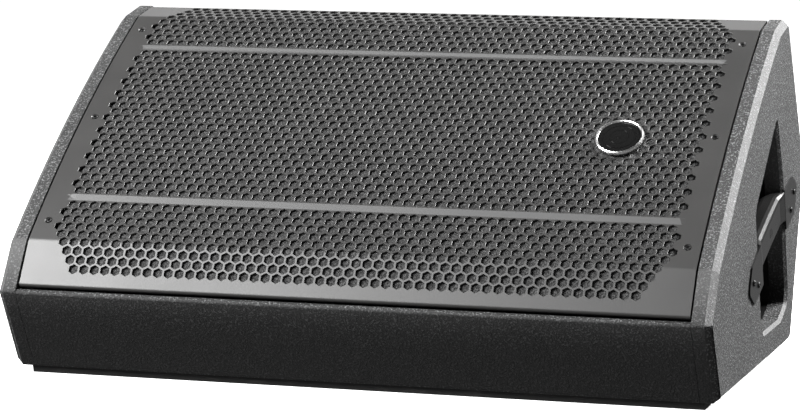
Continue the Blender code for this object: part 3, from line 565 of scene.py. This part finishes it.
score((HALF_WIDTH, 0, 0), (1, 0, 0), trim=True)
score((-HALF_WIDTH, 0, 0), (-1, 0, 0), trim=True)
score((0, table_runs[-1], 0), (0, 1, 0), trim=True)
score((0, table_runs[0], 0), (0, -1, 0), trim=True)
bend_zones = [(table_runs[1], table_runs[2], 8), (table_runs[3], table_runs[4], 4),
              (table_runs[5], table_runs[6], 4), (table_runs[7], table_runs[8], 7)]
bend_lines = [low + (high - low) * index / count
              for low, high, count in bend_zones for index in range(count + 1)]
STEP_LOW, STEP_KNEE, STEP_HIGH = -4.0 * MM, 3.0 * MM, 3.9 * MM
for row, way in PLAIN_ROWS.items():
    bend_lines += [(MIDDLE_ROW - row) * ROW_STEP + way * edge
                   for edge in (STEP_LOW, STEP_KNEE, STEP_HIGH)]
for line in bend_lines:
    score((0, line, 0), (0, 1, 0))
patch = 7.5 * MM                          # half the side of the square opened round each screw
for edge in (-patch, patch):
    for x in (-SCREW_X, SCREW_X):
        score((x + edge, 0, 0), (1, 0, 0))
    for run in SCREW_RUNS:
        score((0, run + edge, 0), (0, 1, 0))
print("lines scored:", len(bend_lines) + 4 + 2 * len(SCREW_RUNS))

# %% Open the screw holes
CONE_TOP, CONE_FOOT, CONE_DEEP = 3.9 * MM, 3.1 * MM, 1.0 * MM
CONE_SIDES = 24
for x in (-SCREW_X, SCREW_X):
    for run in SCREW_RUNS:
        middle = Vector((x, run, 0))
        inside = [face for face in flat.faces
                  if max(abs(side) for side in (face.calc_center_median() - middle)[:2])
                  < patch - 1e-6]
        border = {edge for face in inside for edge in face.edges
                  if any(other not in inside for other in edge.link_faces)}
        bmesh.ops.delete(flat, geom=inside, context="FACES")
        border = [edge for edge in border if edge.is_valid]
        turns = np.linspace(0, 2 * math.pi, CONE_SIDES, endpoint=False)
        circle = [flat.verts.new((x + CONE_TOP * math.cos(turn),
                                  run + CONE_TOP * math.sin(turn), 0)) for turn in turns]
        for corner in circle:
            corner[hole_layer] = (x, run, 2.0)
        rings = [flat.edges.new((corner, circle[(index + 1) % CONE_SIDES]))
                 for index, corner in enumerate(circle)]
        bmesh.ops.triangle_fill(flat, edges=border + rings, use_beauty=True)
loose = [vert for vert in flat.verts if not vert.link_faces]
bmesh.ops.delete(flat, geom=loose, context="VERTS")
bmesh.ops.recalc_face_normals(flat, faces=flat.faces[:])
print("flat faces:", len(flat.faces))

# %% [markdown]
# Next the flat sheet gets its thickness and is bent. A punched edge isn't sharp: paint rounds it,
# so each hole has a narrow sloping rim that catches the light. Heights add up two pressings: the
# stepped plain rows and the round dish for the badge. The steps stand proud, and their coat gets
# a painted highlight, for the light that their tilted faces catch.

# %% Painted highlight on the two steps
END_SLANT = 0.4                           # how far a step's end leans, per millimetre along it


def step_length(row):
    """Half the length of the step on a plain row."""
    return holes_in(row + 1) * PITCH / 2 + 0.5 * MM


grille_coat, place = start_finish("grille_coat")
peel, handling, coat_colour = coat_layers(place)
sideways = place.part(0).absolute()
for row, way in PLAIN_ROWS.items():
    step_run = (MIDDLE_ROW - row) * ROW_STEP
    middle = on_sheet(0.0, np.array(step_run))
    ahead = on_sheet(0.0, np.array(step_run + MM)) - middle
    ahead = ahead / np.linalg.norm(ahead)
    from_step = place.node("VectorMath", {"operation": "SUBTRACT"}, {0: place, 1: tuple(middle)})
    along = from_step.node("VectorMath", {"operation": "DOT_PRODUCT"},
                           {0: from_step, 1: tuple(ahead)}, output=1)
    length = step_length(row)
    inside = along.above(-4.0 * MM, -3.6 * MM) * (1.0 - along.above(3.4 * MM, 3.8 * MM))
    slanted = sideways + END_SLANT * way * along
    inside = inside * (1.0 - slanted.above(length, length + 0.4 * MM))
    # painted highlight: the coat on each step is painted lighter, for the light its tilted face
    # catches
    coat_colour = blend_colours(place, inside, coat_colour, grey(0.085))
close_finish(place, coat_colour, 0.36 + 0.10 * handling, peel, 0.00004)
print("half lengths of the steps:", [round(step_length(row) / MM, 1) for row in PLAIN_ROWS])

# %% Pressed heights
def soft_step(value, low, high):
    """0 under low, 1 over high, and a soft step between, for arrays."""
    share = np.clip((value - low) / (high - low), 0.0, 1.0)
    return share * share * (3 - 2 * share)


STEP_RISE = 1.1 * MM
DISH_DEPTH = 2.0 * MM


def pressed(x, run):
    """How far the sheet is pressed out (or in, if negative) at a place."""
    height = np.zeros_like(x)
    for row, way in PLAIN_ROWS.items():
        offset = way * (run - (MIDDLE_ROW - row) * ROW_STEP)
        length = step_length(row)
        ends = 1.0 - soft_step(np.abs(x) + offset * END_SLANT, length, length + 1.5 * MM)
        profile = np.interp(offset, [STEP_LOW, STEP_KNEE, STEP_HIGH], [0.0, STEP_RISE, 0.0])
        height = height + ends * profile
    from_badge = np.hypot(x - BADGE_SPOT.x, run - BADGE_SPOT.y)
    return height - DISH_DEPTH * (1.0 - soft_step(from_badge, *BADGE_DISH))


badge_middle = pressed(np.array([BADGE_SPOT.x]), np.array([BADGE_SPOT.y]))[0]
print("badge dish is %.1f mm deep" % (-badge_middle / MM))

# %% Thickness and bending
RIM = 0.22 * MM
flat.verts.index_update()
count = len(flat.verts)
place_flat = np.array([vert.co[:2] for vert in flat.verts])
hole_at = np.array([tuple(vert[hole_layer]) for vert in flat.verts])
top_faces = [[vert.index for vert in face.verts] for face in flat.faces]
open_edges = [edge for edge in flat.edges if len(edge.link_faces) == 1]
walls = []
for edge in open_edges:
    loop = edge.link_loops[0]
    walls.append((loop.vert.index, loop.link_loop_next.vert.index))
flat.free()

to_hole = hole_at[:, :2] - place_flat
reach = np.maximum(np.hypot(to_hole[:, 0], to_hole[:, 1]), 1e-9)[:, None]
punched = hole_at[:, 2:3] == 1.0
countersunk = hole_at[:, 2:3] == 2.0
inward = np.where(punched, RIM, 0.0) + np.where(countersunk, CONE_TOP - CONE_FOOT, 0.0)
lower_place = place_flat + to_hole / reach * inward
rim_drop = np.where(countersunk[:, 0], CONE_DEEP, np.where(punched[:, 0], RIM, 0.0))
base = pressed(place_flat[:, 0], place_flat[:, 1])
top = on_sheet(place_flat[:, 0], place_flat[:, 1], base)
rim = on_sheet(lower_place[:, 0], lower_place[:, 1], base - rim_drop)
bottom = on_sheet(lower_place[:, 0], lower_place[:, 1], base - SHEET)
faces = top_faces + [[index + 2 * count for index in reversed(face)] for face in top_faces]
for first, second in walls:
    if hole_at[first][2] > 0:
        faces.append([second, first, first + count, second + count])
        faces.append([second + count, first + count, first + 2 * count, second + 2 * count])
    else:
        faces.append([second, first, first + 2 * count, second + 2 * count])
used = sorted({index for face in faces for index in face})
renumber = {old: new for new, old in enumerate(used)}
all_corners = np.concatenate([top, rim, bottom])[used]
grille_faces = [[renumber[index] for index in face] for face in faces]
add_piece("grille_sheet", all_corners, grille_faces, grille_coat, "cabinet",
          ["grille"])
print("grille faces:", len(grille_faces))

# %% [markdown]
# ## Foam behind the grille
#
# The foam is a soft sheet glued to the back of the grille. It follows the same bent section a
# little deeper, so the same function places it. Its front is uneven where it presses into the
# holes, and its edges are pinched, which a little noise and a rounded border give.

# %% Foam sheet
FOAM_FRONT, FOAM_BACK = 1.95 * MM, 6.1 * MM         # depths under the grille's face
FOAM_BUMP, FOAM_PINCH = 0.8 * MM, 1.6 * MM
foam_xs = np.linspace(-297.0, 297.0, 150) * MM
foam_runs = np.linspace(-half_run - 35.0 * MM, half_run + 26.0 * MM, 96)


def soft_border(values, reach):
    """0 at both ends of a run of values, rising to 1 within a reach of them."""
    from_end = np.minimum(values - values[0], values[-1] - values)
    return np.sqrt(np.clip(1 - (1 - np.clip(from_end / reach, 0, 1)) ** 2, 0, 1))


def bumps(x, y, size):
    """A smooth random height from -1 to 1."""
    return noise.noise(Vector((x / size, y / size, 3.7)))


def closed_sheet(name, front, back, finish, body, stands_for):
    """A closed body from two grids of points of the same shape."""
    rows, columns = front.shape[:2]
    corners = np.concatenate([front.reshape(-1, 3), back.reshape(-1, 3)])
    half = rows * columns
    faces = []
    for row in range(rows - 1):
        for column in range(columns - 1):
            a = row * columns + column
            ring = [a, a + 1, a + columns + 1, a + columns]
            faces.append(ring)
            faces.append([half + index for index in reversed(ring)])
    border = list(range(columns))
    border += [row * columns + columns - 1 for row in range(1, rows)]
    border += [(rows - 1) * columns + column for column in range(columns - 2, -1, -1)]
    border += [row * columns for row in range(rows - 2, 0, -1)]
    for first, second in zip(border, border[1:] + border[:1]):
        faces.append([second, first, half + first, half + second])
    return add_piece(name, corners, faces, finish, body, stands_for, smooth=True)


x_grid, run_grid = np.meshgrid(foam_xs, foam_runs)
plump = np.outer(soft_border(foam_runs, 3 * MM), soft_border(foam_xs, 3 * MM))
uneven = np.array([[bumps(x, run, 0.007) for x in foam_xs] for run in foam_runs])
front_height = -FOAM_FRONT - (0.5 + 0.5 * uneven) * FOAM_BUMP - (1 - plump) * FOAM_PINCH
back_height = -FOAM_BACK + (1 - plump) * FOAM_PINCH
foam_sheet = closed_sheet("foam_sheet", on_sheet(x_grid, run_grid, front_height),
                          on_sheet(x_grid, run_grid, back_height), open_foam, "cabinet",
                          ["grille_foam"])
print("foam corners:", len(foam_sheet.data.vertices))

# %% [markdown]
# ## Damping blanket
#
# A polyester blanket hangs inside against the rear panel. It is lumpy and held by a few staples,
# so it dips in rows between puffed fields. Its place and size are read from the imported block.

# %% Wadding
block = np.array([tuple(vert.co) for vert in frame["nodes"]["damping_blanket"].data.vertices])
low_x, high_x = block[:, 0].min(), block[:, 0].max()
section = np.unique(np.round(block[:, 1:], 5), axis=0)
foot_point = section[section[:, 1].argmin()]
others = sorted((tuple(point - foot_point) for point in section),
                key=lambda side: math.hypot(*side))
thick_way, slope_way = np.array(others[1]), np.array(others[2])
fields = np.linspace(0, 1, 61)
slopes = np.linspace(0, 1, 31)
field_grid, slope_grid = np.meshgrid(fields, slopes)
quilting = np.abs(np.sin(field_grid * math.pi * 4)) * np.abs(np.sin(slope_grid * math.pi * 2))
rounding = np.outer(soft_border(slopes, 0.12), soft_border(fields, 0.05))
lumps = np.array([[bumps(field * 0.3, slope * 0.12, 0.02) for field in fields] for slope in slopes])
swell = rounding * np.clip(0.26 + 0.18 * quilting ** 0.5 + 0.05 * lumps, 0.0, 0.49)


def blanket_side(share):
    """One face of the blanket; share is the depth, from 0 to 1 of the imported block's."""
    yz = foot_point + slope_grid[..., None] * 0.98 * slope_way + share[..., None] * thick_way
    x = low_x + field_grid * (high_x - low_x)
    return np.concatenate([x[..., None], yz], axis=-1)


wadding_piece = closed_sheet("damping_wadding", blanket_side(0.5 - swell),
                             blanket_side(0.5 + swell), polyester_wadding, "cabinet",
                             ["damping_blanket"])
print("blanket: %.0f by %.0f mm" % ((high_x - low_x) / MM, np.hypot(*slope_way) * 0.98 / MM))

# %% [markdown]
# ## Surround and spider
#
# Two soft rings hold the cone: a half-roll at its rim and a corrugated, resin-dipped cloth disc
# round its coil. In the real driver their outer edges sit on the basket and their inner edges on
# the cone, and a ring gives way in every direction at once. Here each is made as sixteen narrow
# sectors, each along its own radius, and neighbours share the same edge.

# %% Rings in sectors
SECTORS = 16
travel_axis = Vector(next(joint["axis"] for joint in frame["joints"]
                          if joint["name"] == "woofer_travel")).normalized()
side_way = Vector((1, 0, 0))
cross_way = travel_axis.cross(side_way)
packed_ring = np.array([tuple(vert.co) for vert in frame["nodes"]["woofer_surround"].data.vertices])
spans = [packed_ring @ np.array(way) for way in (side_way, cross_way)]
ring_root = (side_way * (spans[0].min() + spans[0].max()) / 2
             + cross_way * (spans[1].min() + spans[1].max()) / 2
             + travel_axis * ((packed_ring @ np.array(travel_axis)).min() - 0.6 * MM))


def sector_ring(name, profile, bend_from, bend_to, finish, stands_for):
    """Sectors of a turned ring; radii and heights of the closed profile in millimetres."""
    half = math.pi / SECTORS
    count = len(profile)
    for sector in range(SECTORS):
        corners = []
        for turn in (-half, 0.0, half):
            angle = 2 * sector * half + turn
            way = side_way * math.cos(angle) + cross_way * math.sin(angle)
            corners += [ring_root + (way * radius + travel_axis * height) * MM
                        for radius, height in profile]
        faces = [list(range(count)), list(range(2 * count, 3 * count))[::-1]]
        for start in (0, count):
            for index in range(count):
                after = (index + 1) % count
                faces.append([start + after, start + index, start + count + index,
                              start + count + after])
        piece = add_piece("%s_%d" % (name, sector + 1), corners, faces, finish, None,
                          [stands_for], smooth=True)
        piece.data.set_sharp_from_angle(angle=math.radians(50))
        way = side_way * math.cos(2 * sector * half) + cross_way * math.sin(2 * sector * half)
        ring_root + way * bend_from * MM
        ring_root + way * bend_to * math.cos(half) * MM
        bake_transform(piece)


roll_turns = np.linspace(0, math.pi, 13)
roll = [(119.3 + 6.3 * math.cos(turn), 1.6 + 6.3 * math.sin(turn)) for turn in roll_turns]
under = [(119.3 + 5.3 * math.cos(turn), 1.6 + 5.3 * math.sin(turn)) for turn in roll_turns[::-1]]
surround_profile = ([(126.6, 1.6)] + roll[1:-1] + [(112.4, 1.6), (112.4, 0.6)] + under[1:-1]
                    + [(126.6, 0.6)])
sector_ring("surround_sector", surround_profile, 113.0, 125.6, treated_cloth,
            "woofer_surround")
spider_radii = np.linspace(28.0, 84.0, 41)
upper = [(radius, -54.0 - 1.2 * math.cos((radius - 28.0) / 56.0 * 8 * math.pi))
         for radius in spider_radii]
spider_profile = upper[::-1] + [(radius, height - 0.8) for radius, height in upper]
sector_ring("spider_sector", spider_profile, 30.0, 82.0, spider_weave,
            "woofer_spider")
print("sectors:", 2 * SECTORS)

# %% [markdown]
# ## Turned parts
#
# Screws, rings and contact pins are turned: a profile of radius and height goes round an axis. A
# screw's drive isn't round, so the same function lets the radius change with the angle.

# %% Lathe
def turned(name, profile, origin, axis, finish, body, stands_for=(), segments=32,
           drive_rings=(), closed=False):
    """Turn (radius, height) pairs in metres round an axis; drive_rings become hexagons.

    A closed profile gives a ring, with no faces at its ends."""
    out_way = Vector(axis).normalized()
    side_way = out_way.orthogonal().normalized()
    cross_way = out_way.cross(side_way)
    corners, faces = [], []
    for ring, (radius, height) in enumerate(profile):
        for turn in range(segments):
            angle = 2 * math.pi * turn / segments
            reach = radius
            if ring in drive_rings:
                reach = radius / math.cos((angle % (math.pi / 3)) - math.pi / 6)
            corners.append(Vector(origin) + side_way * reach * math.cos(angle)
                           + cross_way * reach * math.sin(angle) + out_way * height)
    rings = len(profile)
    for ring in range(rings if closed else rings - 1):
        this, other = ring * segments, (ring + 1) % rings * segments
        for turn in range(segments):
            after = (turn + 1) % segments
            faces.append([this + turn, this + after, other + after, other + turn])
    if not closed:
        faces.append(list(range(segments))[::-1])
        faces.append([(rings - 1) * segments + turn for turn in range(segments)])
    piece = add_piece(name, corners, faces, finish, body, stands_for, smooth=True)
    piece.data.set_sharp_from_angle(angle=math.radians(32))
    return piece


# %% Screws
def socket_screw(name, origin, axis, radius, rise, stands_for=()):
    """A low head with a hexagonal socket; origin is under the head."""
    profile = [(radius * 0.5, -rise * 0.9), (radius * 0.5, 0.0), (radius * 0.97, 0.0),
               (radius, rise * 0.2), (radius * 0.97, rise * 0.45), (radius * 0.78, rise * 0.9),
               (radius * 0.60, rise), (radius * 0.40, rise), (radius * 0.37, rise * 0.9),
               (radius * 0.35, rise * 0.25)]
    return turned(name, profile, origin, axis, black_screw, "cabinet", stands_for, 24,
                  (7, 8, 9))


number = 0
for side in (-1, 1):
    for run in SCREW_RUNS:
        number += 1
        root = on_sheet(side * SCREW_X, run, -1.3 * MM)
        tip = on_sheet(side * SCREW_X, run, 0.0)
        socket_screw("grille_fixing_%d" % number, root, tip - root, 2.8 * MM, 1.3 * MM,
                     ["grille_screw_%d" % number])
for word, side in (("left", -1), ("right", 1)):
    for number in range(1, 5):
        node = "handle_screw_%s_%d" % (word, number)
        low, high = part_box(node)
        middle = (Vector(low) + Vector(high)) / 2
        root_x = low[0] if side > 0 else high[0]
        socket_screw("handle_fixing_%s_%d" % (word, number), (root_x, middle.y, middle.z),
                     (side, 0, 0), (high[1] - low[1]) / 2, high[0] - low[0], [node])

# %% [markdown]
# ## Badge
#
# The badge shows a plain pattern of two thin raised rings round a dot, like a loudspeaker seen
# from the front, in the same gloss black as its disc. It rides on the badge's own body, so it
# turns with it. A short collar under the badge stands in the dish and hides its pivot.

# %% Badge pattern and collar
badge_root = on_sheet(BADGE_SPOT.x, BADGE_SPOT.y, 0.0)
badge_axis = on_sheet(BADGE_SPOT.x, BADGE_SPOT.y, 1.0) - badge_root


def flat_ring(name, root, axis, radii, heights, finish, body):
    """A thin ring with a crowned top; radii and heights in millimetres."""
    inner, outer = radii
    low, high = heights
    profile = [(outer, low), (outer, high - 0.05), ((inner + outer) / 2, high),
               (inner, high - 0.05), (inner, low)]
    return turned(name, [(radius * MM, height * MM) for radius, height in profile], root, axis,
                  finish, body, segments=64, closed=True)


flat_ring("badge_band_outer", badge_root, badge_axis, (14.6, 15.3), (2.5, 2.95), badge_gloss,
          "badge")
flat_ring("badge_band_inner", badge_root, badge_axis, (8.6, 9.2), (2.8, 3.2), badge_gloss,
          "badge")
dot_profile = [(2.6, 2.9), (2.6, 3.3), (1.8, 3.6), (0.6, 3.75)]
turned("badge_dot", [(radius * MM, height * MM) for radius, height in dot_profile], badge_root,
       badge_axis, badge_gloss, "badge")
turned("badge_collar", [(20.0 * MM, -2.0 * MM), (20.0 * MM, 0.2 * MM), (19.0 * MM, 0.4 * MM)],
       badge_root, badge_axis, moulded_plastic, "cabinet", segments=64)
lean = math.degrees(math.atan2(-badge_axis[1], badge_axis[2]))
print("badge leans %.1f degrees from level" % lean)

# %% [markdown]
# ## Mark on each handle
#
# A moulder's ring stands a third of a millimetre proud in the middle of each handle's bar. It is
# the same thin ring as on the badge, on another axis.

# %% Handle marks
HANDLE_FACE_X = 337.6 * MM                # the outer face of each bar
HANDLE_MIDDLE = (51.0 * MM, 129.0 * MM)   # its middle, as (Y, Z)
for word, side in (("left", -1), ("right", 1)):
    bar_face = Vector((side * HANDLE_FACE_X, *HANDLE_MIDDLE))
    flat_ring("handle_mark_" + word, bar_face, (side, 0, 0), (4.0, 5.0), (-0.5, 0.35),
              moulded_plastic, "cabinet")
print("handle marks at x = %.1f mm" % (HANDLE_FACE_X / MM))

# %% [markdown]
# ## Rear panel of the amplifier
#
# The plate carries rows of short cooling fins, a ring of screws, printed marks and the metal
# inside its sockets. All of them are placed in the plate's own directions: along it, up it and
# out of it. Many small blocks share one mesh, as they would be cast or printed together.

# %% Places on the plate
PLATE_MIDDLE = Vector((0.0, 0.1825, 0.091))
ALONG, UP_PLATE, OUT = Vector((-1, 0, 0)), Vector((0, 0.3413, 0.94)), Vector((0, 0.94, -0.3413))
PLATE_FACE = -0.7                         # millimetres out, as are all the numbers below
INPUT_AT, LINK_AT, KNOB_AT, INLET_AT = -118.0, -78.0, -20.0, 112.0
INLET_UP = -8.0


def on_plate(along, up, out=PLATE_FACE):
    """A place in millimetres along, up and out of the plate."""
    return PLATE_MIDDLE + (ALONG * along + UP_PLATE * up + OUT * out) * MM


def add_blocks(name, blocks, finish, body="cabinet"):
    """One mesh of separate blocks: (along, up, half length, half height, low, high, turn)."""
    corners, faces = [], []
    for along, up, half_along, half_up, low, high, turn in blocks:
        start = len(corners)
        taper = min(0.4, 0.3 * min(half_along, half_up)) if high - low > 1.0 else 0.0
        for level, inset in ((low, 0.0), (high - taper, 0.0), (high, taper)):
            for sign_a, sign_u in ((-1, -1), (1, -1), (1, 1), (-1, 1)):
                a, u = sign_a * (half_along - inset), sign_u * (half_up - inset)
                corners.append(on_plate(along + a * math.cos(turn) - u * math.sin(turn),
                                        up + a * math.sin(turn) + u * math.cos(turn), level))
        faces.append([start + index for index in (3, 2, 1, 0)])
        faces.append([start + index for index in (8, 9, 10, 11)])
        for ring in (0, 4):
            for index in range(4):
                after = (index + 1) % 4
                faces.append([start + ring + index, start + ring + after, start + ring + after + 4,
                              start + ring + index + 4])
    return add_piece(name, corners, faces, finish, body)


# %% Fins and plate screws
FIN_COUNT, FIN_PITCH, FIN_UP = 30, 10.0, 39.0
fins = [((index - (FIN_COUNT - 1) / 2) * FIN_PITCH, FIN_UP, 1.2, 9.5, -1.0, 3.6, 0.0)
        for index in range(FIN_COUNT)]
add_blocks("cooling_fins", fins, powder_coat)
spots = [(sign_a * along, sign_u * up) for along, up in ((152.0, 54.0), (76.0, 56.5))
         for sign_a in (-1, 1) for sign_u in (-1, 1)]
for index, (along, up) in enumerate(spots):
    socket_screw("plate_screw_%d" % (index + 1), on_plate(along, up), OUT, 3.2 * MM, 1.6 * MM)
print("fins:", FIN_COUNT, "plate screws:", len(spots))

# %% Printed marks
print_white, place = start_finish("printed_marks")
ink = grain(place, 0.0009, 3.0)
close_finish(place, blend_colours(place, ink, grey(0.42), grey(0.60)), 0.55 + 0.1 * ink, ink,
             0.00001)
INK_LOW, INK_HIGH = PLATE_FACE - 0.2, PLATE_FACE + 0.06
HALF_LINE, HALF_FRAME = 0.3, 21.0
DIAL_RADIUS, DIAL_TICKS, DIAL_HALF_TURN = 15.5, 11, 150.0


def printed_frame(along, up, half_along):
    """Four lines round a group of controls."""
    level = (INK_LOW, INK_HIGH, 0.0)
    return ([(along, up + side * HALF_FRAME, half_along + HALF_LINE, HALF_LINE) + level
             for side in (-1, 1)]
            + [(along + side * half_along, up, HALF_LINE, HALF_FRAME) + level for side in (-1, 1)])


marks = (printed_frame((INPUT_AT + LINK_AT) / 2, 0.0, 42.0) + printed_frame(KNOB_AT, 0.0, 24.0)
         + printed_frame(90.0, INLET_UP, 46.0))
for tick in np.linspace(DIAL_HALF_TURN, -DIAL_HALF_TURN, DIAL_TICKS):
    turn = math.radians(90 + tick)
    marks.append((KNOB_AT + DIAL_RADIUS * math.cos(turn), DIAL_RADIUS * math.sin(turn), 1.5, 0.35,
                  INK_LOW, INK_HIGH, turn))
add_blocks("printed_lines", marks, print_white)
add_blocks("knob_pointer", [(KNOB_AT, 5.0, 0.4, 2.2, 10.0, 10.75, 0.0)], print_white,
           body="gain_control")
print("printed marks:", len(marks))

# %% [markdown]
# The sockets show a three-hole face on the input and three pins on the link; the mains inlet has
# three flat blades. The bodies were modelled as open cups, so these only fill them.

# %% Socket fittings
contact_metal, place = start_finish("contact_metal")
plating = grain(place, 0.002, 3.0)
close_finish(place, blend_colours(place, plating, (0.62, 0.60, 0.56, 1), (0.78, 0.76, 0.72, 1)),
             0.22 + 0.1 * plating, plating, 0.00001, Metallic=1.0)
CONTACT_CIRCLE = 4.8
pin_profile = [(1.2 * MM, 0.0), (1.2 * MM, 8 * MM), (0.5 * MM, 9 * MM)]
for index, turn in enumerate((90, 210, 330)):
    aside = CONTACT_CIRCLE * math.cos(math.radians(turn))
    up = CONTACT_CIRCLE * math.sin(math.radians(turn))
    turned("link_pin_%d" % (index + 1), pin_profile,
           on_plate(LINK_AT + aside, up, PLATE_FACE - 8.6), OUT, contact_metal, "cabinet",
           segments=16)
    flat_ring("input_contact_%d" % (index + 1), on_plate(INPUT_AT + aside, up, PLATE_FACE - 2.0),
              OUT, (1.1, 1.9), (-0.5, 0.4), contact_metal, "cabinet")
turned("input_face", [(9.3 * MM, -6.2 * MM), (9.3 * MM, -2.2 * MM), (8.7 * MM, -1.7 * MM)],
       on_plate(INPUT_AT, 0.0), OUT, moulded_plastic, "cabinet", segments=48)
blade_spots = [(-7.0, -1.5), (0.0, 2.0), (7.0, -1.5)]
add_blocks("inlet_blades", [(INLET_AT + aside, INLET_UP + up, 1.0, 2.0, PLATE_FACE - 15.5,
                             PLATE_FACE - 2.0, 0.0) for aside, up in blade_spots],
           contact_metal)
print("contacts: 3 pins, 3 sockets,", len(blade_spots), "blades")

# %% [markdown]
# ## Studio
#
# The wedge stands on a plain pale floor. Two large soft lights do most of the work: one in front
# on the left for the lower flange, and one behind on the right for the slanting edge and the
# side. A weaker box in front carries the flange's brightness further along. A long dim strip
# behind lifts the upper flange, and the low surroundings fill the front board. The floor glows
# strongly by itself, so that it is an even white, and throws no light back on the wedge.

# %% Floor
floor_mesh = bpy.data.meshes.new("studio_floor")
reach_out = 9.0
floor_mesh.from_pydata([(-reach_out, -reach_out, 0), (reach_out, -reach_out, 0),
                        (reach_out, reach_out, 0), (-reach_out, reach_out, 0)], [], [(0, 1, 2, 3)])
studio_floor = bpy.data.objects.new("studio_floor", floor_mesh)
bpy.context.scene.collection.objects.link(studio_floor)
pale_floor, place = start_finish("pale_floor")
dapple = grain(place, 0.4, 3.0)
close_finish(place, blend_colours(place, dapple, grey(0.80), grey(0.84)), 0.75 + 0.1 * dapple,
             Emission_Color=grey(1.0), Emission_Strength=0.85)
floor_mesh.materials.append(pale_floor)
studio_floor.visible_diffuse = False      # it shows and takes shadows, but throws no light back
studio_floor.visible_glossy = False
studio_floor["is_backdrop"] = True
print("floor reaches %.0f m each way" % reach_out)


# %% Lights
def soft_light(name, spot, width, height, watts, aim=(0.0, 0.0, 0.15)):
    """A rectangular box of even light that faces the wedge."""
    lamp = bpy.data.lights.new(name, "AREA")
    lamp.shape = "RECTANGLE"
    lamp.size, lamp.size_y = width, height
    lamp.energy = watts
    light = bpy.data.objects.new(name, lamp)
    light.location = spot
    light.rotation_euler = (Vector(aim) - Vector(spot)).to_track_quat("-Z", "Y").to_euler()
    bpy.context.scene.collection.objects.link(light)


soft_light("front_left_softbox", (-2.1, -1.7, 2.0), 1.3, 1.4, 235.0)
soft_light("front_softbox", (-1.1, -1.9, 2.3), 1.0, 1.2, 28.0)
soft_light("back_right_softbox", (1.9, 1.1, 1.9), 1.4, 1.2, 290.0)
soft_light("rear_strip", (-0.5, 2.4, 1.5), 3.0, 0.8, 16.0)

GLOW_BELOW, GLOW_ABOVE = 0.29, 0.08
surroundings = bpy.data.worlds.new("studio")
surroundings.use_nodes = True
sky = Wire(surroundings.node_tree)
surroundings.node_tree.nodes.clear()
upward = sky.node("TexCoord", output="Generated").part(2)
brightness = GLOW_BELOW - (GLOW_BELOW - GLOW_ABOVE) * upward.above(-0.06, 0.12)
backdrop = sky.node("Background", inputs={"Color": grey(1.0), "Strength": brightness})
sky.node("OutputWorld", inputs={"Surface": backdrop})
bpy.context.scene.world = surroundings
bpy.context.scene.view_settings.view_transform = "Standard"

# %% [markdown]
# ## Camera
#
# A long lens looks from the right, a little above the grille. A sideways shift of the lens puts
# the wedge in the middle of the frame while the direction of the view stays the same.

# %% Camera
LENS_LENGTH = 135.108                     # millimetres, on a sensor 36 mm wide
lens = bpy.data.cameras.new("camera")
lens.sensor_width = 36.0
lens.lens = LENS_LENGTH
lens.shift_x = -0.2
lens.clip_end = 60.0
camera = bpy.data.objects.new("camera", lens)
right_way = Vector((0.96403, 0.26578, 0.00307)).normalized()
forward = Vector((-0.26304, 0.95563, -0.13262)).normalized()
up_way = right_way.cross(forward).normalized()
turned_frame = Matrix((right_way, up_way, -forward)).transposed().to_4x4()
camera.matrix_world = Matrix.Translation((0.8929, -2.7212, 0.5317)) @ turned_frame
bpy.context.scene.collection.objects.link(camera)
bpy.context.scene.camera = camera
print("lens %.1f mm" % lens.lens)

# %% Sizes
sizes = {"cad": [list(corner) for corner in cad_bounds],
         "visual": [list(corner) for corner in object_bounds()]}
print("grown by millimetres:", [[round((b - a) * 1000, 2) for a, b in zip(*pair)]
                                for pair in zip(sizes["cad"], sizes["visual"])])
